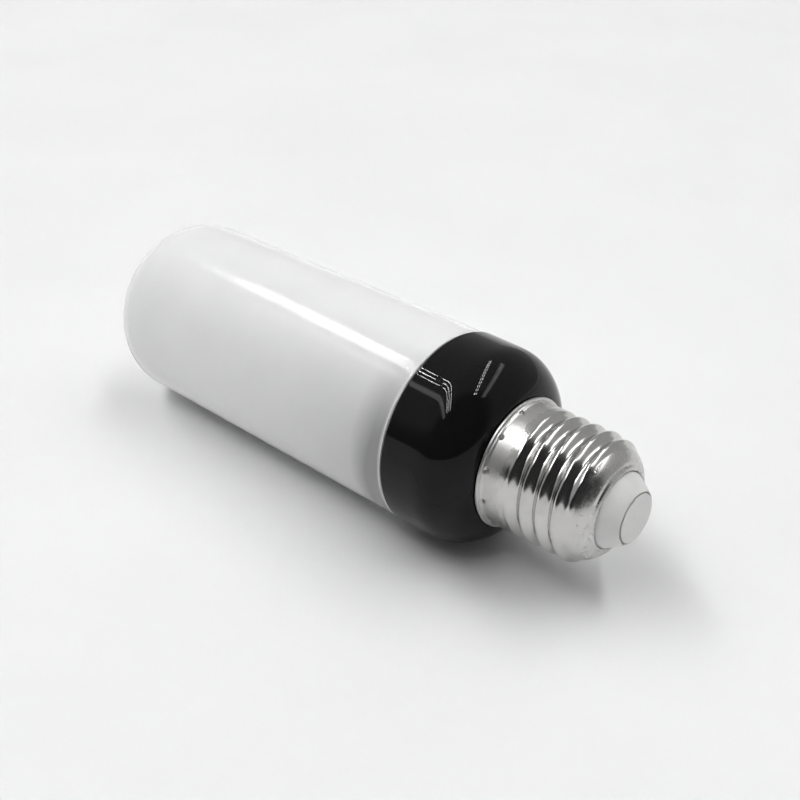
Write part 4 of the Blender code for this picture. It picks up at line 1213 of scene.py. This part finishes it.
@dataclass(frozen=True)
class CeilingStrip:
    """One strip lamp on the ceiling, given by its ends for each metre of height.

    A louvred lamp shows its tubes as bright lines along it, crossed by its dark louvre blades. The
    shares are those of a tube in its lane and of a blade in its step.
    """

    name: str
    start: Pair
    end: Pair
    width: float
    radiance: float
    tubes: int = 0
    louvres: int = 0
    tube_share: float = 0.45
    blade_share: float = 0.3
    patch_scale: float = 7.0
    patch_level: float = 2.0

    def bars(self, wiring: Wiring, along: Socket, count: int, share: float) -> Socket:
        """Draw bars across a coordinate: 1 on the given share of each of count steps, else 0."""
        step = wiring.maths("FRACT", wiring.times(along, count))
        return wiring.maths("LESS_THAN", step, share)

    def pattern(self, wiring: Wiring) -> Number:
        """Let a louvred lamp shine where its tubes show, and a plain one fade towards its edges.

        The plain one's strength is 4 y (1 - y) across it, times soft patches along it.

        Args:
            wiring: the lamp's node tree.

        Returns:
            The socket of the strength.
        """
        spot = wiring.add("NewGeometry").outputs["Parametric"]
        across = wiring.part(spot, "Y")
        if self.louvres:
            tubes = self.bars(wiring, across, self.tubes, self.tube_share)
            gaps = self.bars(wiring, wiring.part(spot, "X"), self.louvres, 1.0 - self.blade_share)
            return wiring.times(tubes, gaps)
        crown = wiring.times(across, wiring.maths("SUBTRACT", 1.0, across), 4.0)
        patches = wiring.times(wiring.noise(spot, self.patch_scale, detail=2.0), self.patch_level)
        return wiring.times(crown, patches)

    def build(self, height: float) -> bpy.types.Object:
        """Hang the lamp.

        Args:
            height: the ceiling's height above the table.

        Returns:
            The lamp, facing down.
        """
        start, end = Vector(self.start) * height, Vector(self.end) * height
        along, middle = end - start, (start + end) / 2
        data = bpy.data.lights.new(self.name, "AREA")
        data.shape = "RECTANGLE"
        data.size = along.length
        data.size_y = self.width * height
        data.energy = self.radiance * math.pi * data.size * data.size_y
        data.use_nodes = True
        wiring = Wiring(data.node_tree)
        wiring.join(self.pattern(wiring), wiring.tree.nodes["Emission"].inputs["Strength"])
        lamp = bpy.data.objects.new(self.name, data)
        lamp.location = (middle.x, middle.y, height)
        lamp.rotation_euler = (0.0, 0.0, math.atan2(along.y, along.x))
        bpy.context.scene.collection.objects.link(lamp)
        return lamp


@dataclass(frozen=True)
class DarkSide:
    """A side of the room without light, and how far from its middle it starts and is full."""

    azimuth: float
    elevation: float
    reach: Pair

    @property
    def direction(self) -> Vector:
        """Direction of its middle."""
        turn, rise = math.radians(self.azimuth), math.radians(self.elevation)
        level = math.cos(rise)
        return Vector((math.cos(turn) * level, math.sin(turn) * level, math.sin(rise)))


@dataclass(frozen=True)
class Room:
    """Light from every direction: grey walls, dark sides in front and a pale horizon."""

    walls: float = 0.42
    dark: float = 0.03
    dark_sides: tuple[DarkSide, ...] = (DarkSide(-47.0, 22.0, (62.0, 44.0)),
                                        DarkSide(-105.0, 4.0, (30.0, 16.0)))
    pale: float = 0.92
    pale_reach: Pair = (4.0, 1.0)

    def build(self) -> None:
        """Make the world, whose level depends on the direction alone."""
        world = bpy.data.worlds.new("room")
        world.use_nodes = True
        wiring = Wiring(world.node_tree)
        look = wiring.add("TexCoord").outputs["Generated"]
        level: Number = self.walls
        for side in self.dark_sides:
            edges = tuple(math.cos(math.radians(angle)) for angle in side.reach)
            near = wiring.toward(look, side.direction)
            here = wiring.span(near, edges, self.walls, self.dark, eased=True)
            level = wiring.maths("MINIMUM", level, here)
        edges = tuple(math.sin(math.radians(angle)) for angle in self.pale_reach)
        horizon = wiring.span(wiring.part(look, "Z"), edges, eased=True)
        mixed = wiring.add("Mix", data_type="FLOAT")
        mixed.inputs["B"].default_value = self.pale
        wiring.join(horizon, mixed.inputs["Factor"])
        wiring.join(level, mixed.inputs["A"])
        background = wiring.tree.nodes["Background"]
        background.inputs["Color"].default_value = (1.0, 1.0, 1.0, 1.0)
        wiring.join(mixed.outputs["Result"], background.inputs["Strength"])
        bpy.context.scene.world = world


@dataclass
class Studio:
    """Table, room light, ceiling strips and the camera at the photograph's angle."""

    axis: BulbAxis
    ceiling: float = 2.4
    image_side: int = 800
    focal_pixels: float = 1265.0
    elevation: float = math.radians(31.72)
    yaw: float = math.radians(42.35)
    joint_in_view: Triple = (10.27 * MM, -5.88 * MM, -259.9 * MM)
    sensor: float = 36.0
    nearest: float = 0.01
    strips: tuple[CeilingStrip, ...] = (
        CeilingStrip("strip_left", (-0.97, 0.15), (0.13, -0.68), 0.20, 104.0, 3, 30, 0.10, 0.25),
        CeilingStrip("strip_far_left", (-1.0, -0.27), (0.07, -0.93), 0.17, 3.7),
        CeilingStrip("strip_right", (-0.18, 0.78), (0.56, -0.06), 0.10, 100.0, 2, 12, 0.22, 0.5),
        CeilingStrip("strip_far_right", (0.15, 1.03), (0.83, 0.11), 0.20, 3.7),
    )
    room: Room = Room()
    table_reach: float = 12.0
    table_colours: tuple[Colour, Colour] = ((0.86, 0.86, 0.86), (0.88, 0.88, 0.88))
    table_cloud: float = 0.02

    def camera(self) -> bpy.types.Object:
        """Place the camera so that the joint stands where the photograph has it.

        Returns:
            The camera.
        """
        data = bpy.data.cameras.new("photo_angle")
        data.sensor_width = self.sensor
        data.lens = self.focal_pixels / self.image_side * self.sensor
        data.clip_start = self.nearest
        camera = bpy.data.objects.new("photo_angle", data)
        lean = Matrix.Rotation(-self.axis.lean, 3, "Y")
        tilt = Matrix.Rotation(math.pi / 2 - self.elevation, 3, "X")
        turned = lean @ Matrix.Rotation(self.yaw, 3, "Z") @ tilt
        joint = self.axis.matrix @ Vector((0.0, 0.0, self.axis.joint))
        place = joint - turned @ Vector(self.joint_in_view)
        camera.matrix_world = Matrix.Translation(place) @ turned.to_4x4()
        bpy.context.scene.collection.objects.link(camera)
        bpy.context.scene.camera = camera
        return camera

    def table(self, level: float) -> bpy.types.Object:
        """Lay a wide pale table.

        Args:
            level: the height of its top.

        Returns:
            The table.
        """
        reach = self.table_reach
        corners = [(-reach, -reach), (reach, -reach), (reach, reach), (-reach, reach)]
        data = bpy.data.meshes.new("table")
        data.from_pydata([(x, y, level) for x, y in corners], [], [(0, 1, 2, 3)])
        table = bpy.data.objects.new("table", data)
        bench = Bench("pale_table", self.axis)
        cloud = bench.span(bench.noise(bench.place(), self.table_cloud, detail=2.0), EVEN)
        bench.colour(bench.blend(cloud, *self.table_colours))
        bench.set(Roughness=0.6, Specular_IOR_Level=0.2)
        data.materials.append(bench.material)
        bpy.context.scene.collection.objects.link(table)
        table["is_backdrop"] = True
        return table

    def build(self, level: float) -> None:
        """Set up the whole studio.

        Args:
            level: the height of the table's top.
        """
        self.table(level)
        self.room.build()
        for strip in self.strips:
            strip.build(self.ceiling)
            LOG.info("hung %s", strip.name)
        self.camera()
        bpy.context.scene.view_settings.view_transform = "Standard"


def clear_start_scene() -> None:
    """Remove whatever the new scene held before the frame is loaded."""
    for item in list(bpy.data.objects):
        bpy.data.objects.remove(item, do_unlink=True)


def main() -> None:
    """Build the outer pieces, dress the inner ones and set up the studio."""
    logging.basicConfig(level=logging.INFO, format="%(name)s: %(message)s")
    clear_start_scene()
    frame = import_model()
    axis = BulbAxis()
    outer = (
        ("diffuser", Diffuser(Turning(axis)), OpalPlastic("opal_diffuser", axis)),
        ("collar", Collar(Turning(axis)), BlackGloss("black_gloss_plastic", axis)),
        ("screw_shell", ScrewShell(Turning(axis, columns=340)), RolledNickel("nickel_plate", axis)),
        ("cap_insulator", CapInsulator(Turning(axis, columns=160)),
         Mottled("insulator_white", axis, (0.74, 0.74, 0.73), (0.70, 0.70, 0.69), 0.35, 0.38)),
        ("centre_contact", CentreContact(Turning(axis, columns=160)),
         TinnedContact("tinned_contact", axis)),
    )
    for node, part, finish in outer:
        piece, slot = part.build(), finish.name
        piece.data.materials.append(finish.build())
        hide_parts(node)
        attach(piece, BODY)
        LOG.info("built %s for %s: %d faces", piece.name, node, len(piece.data.polygons))
    InnerWorks(axis, frame["nodes"]).dress(frame["record"], {node for node, _, _ in outer})
    bpy.context.view_layer.update()
    visual_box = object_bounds()
    Studio(axis).build(visual_box[0].z)


if __name__ == "__main__":
    main()
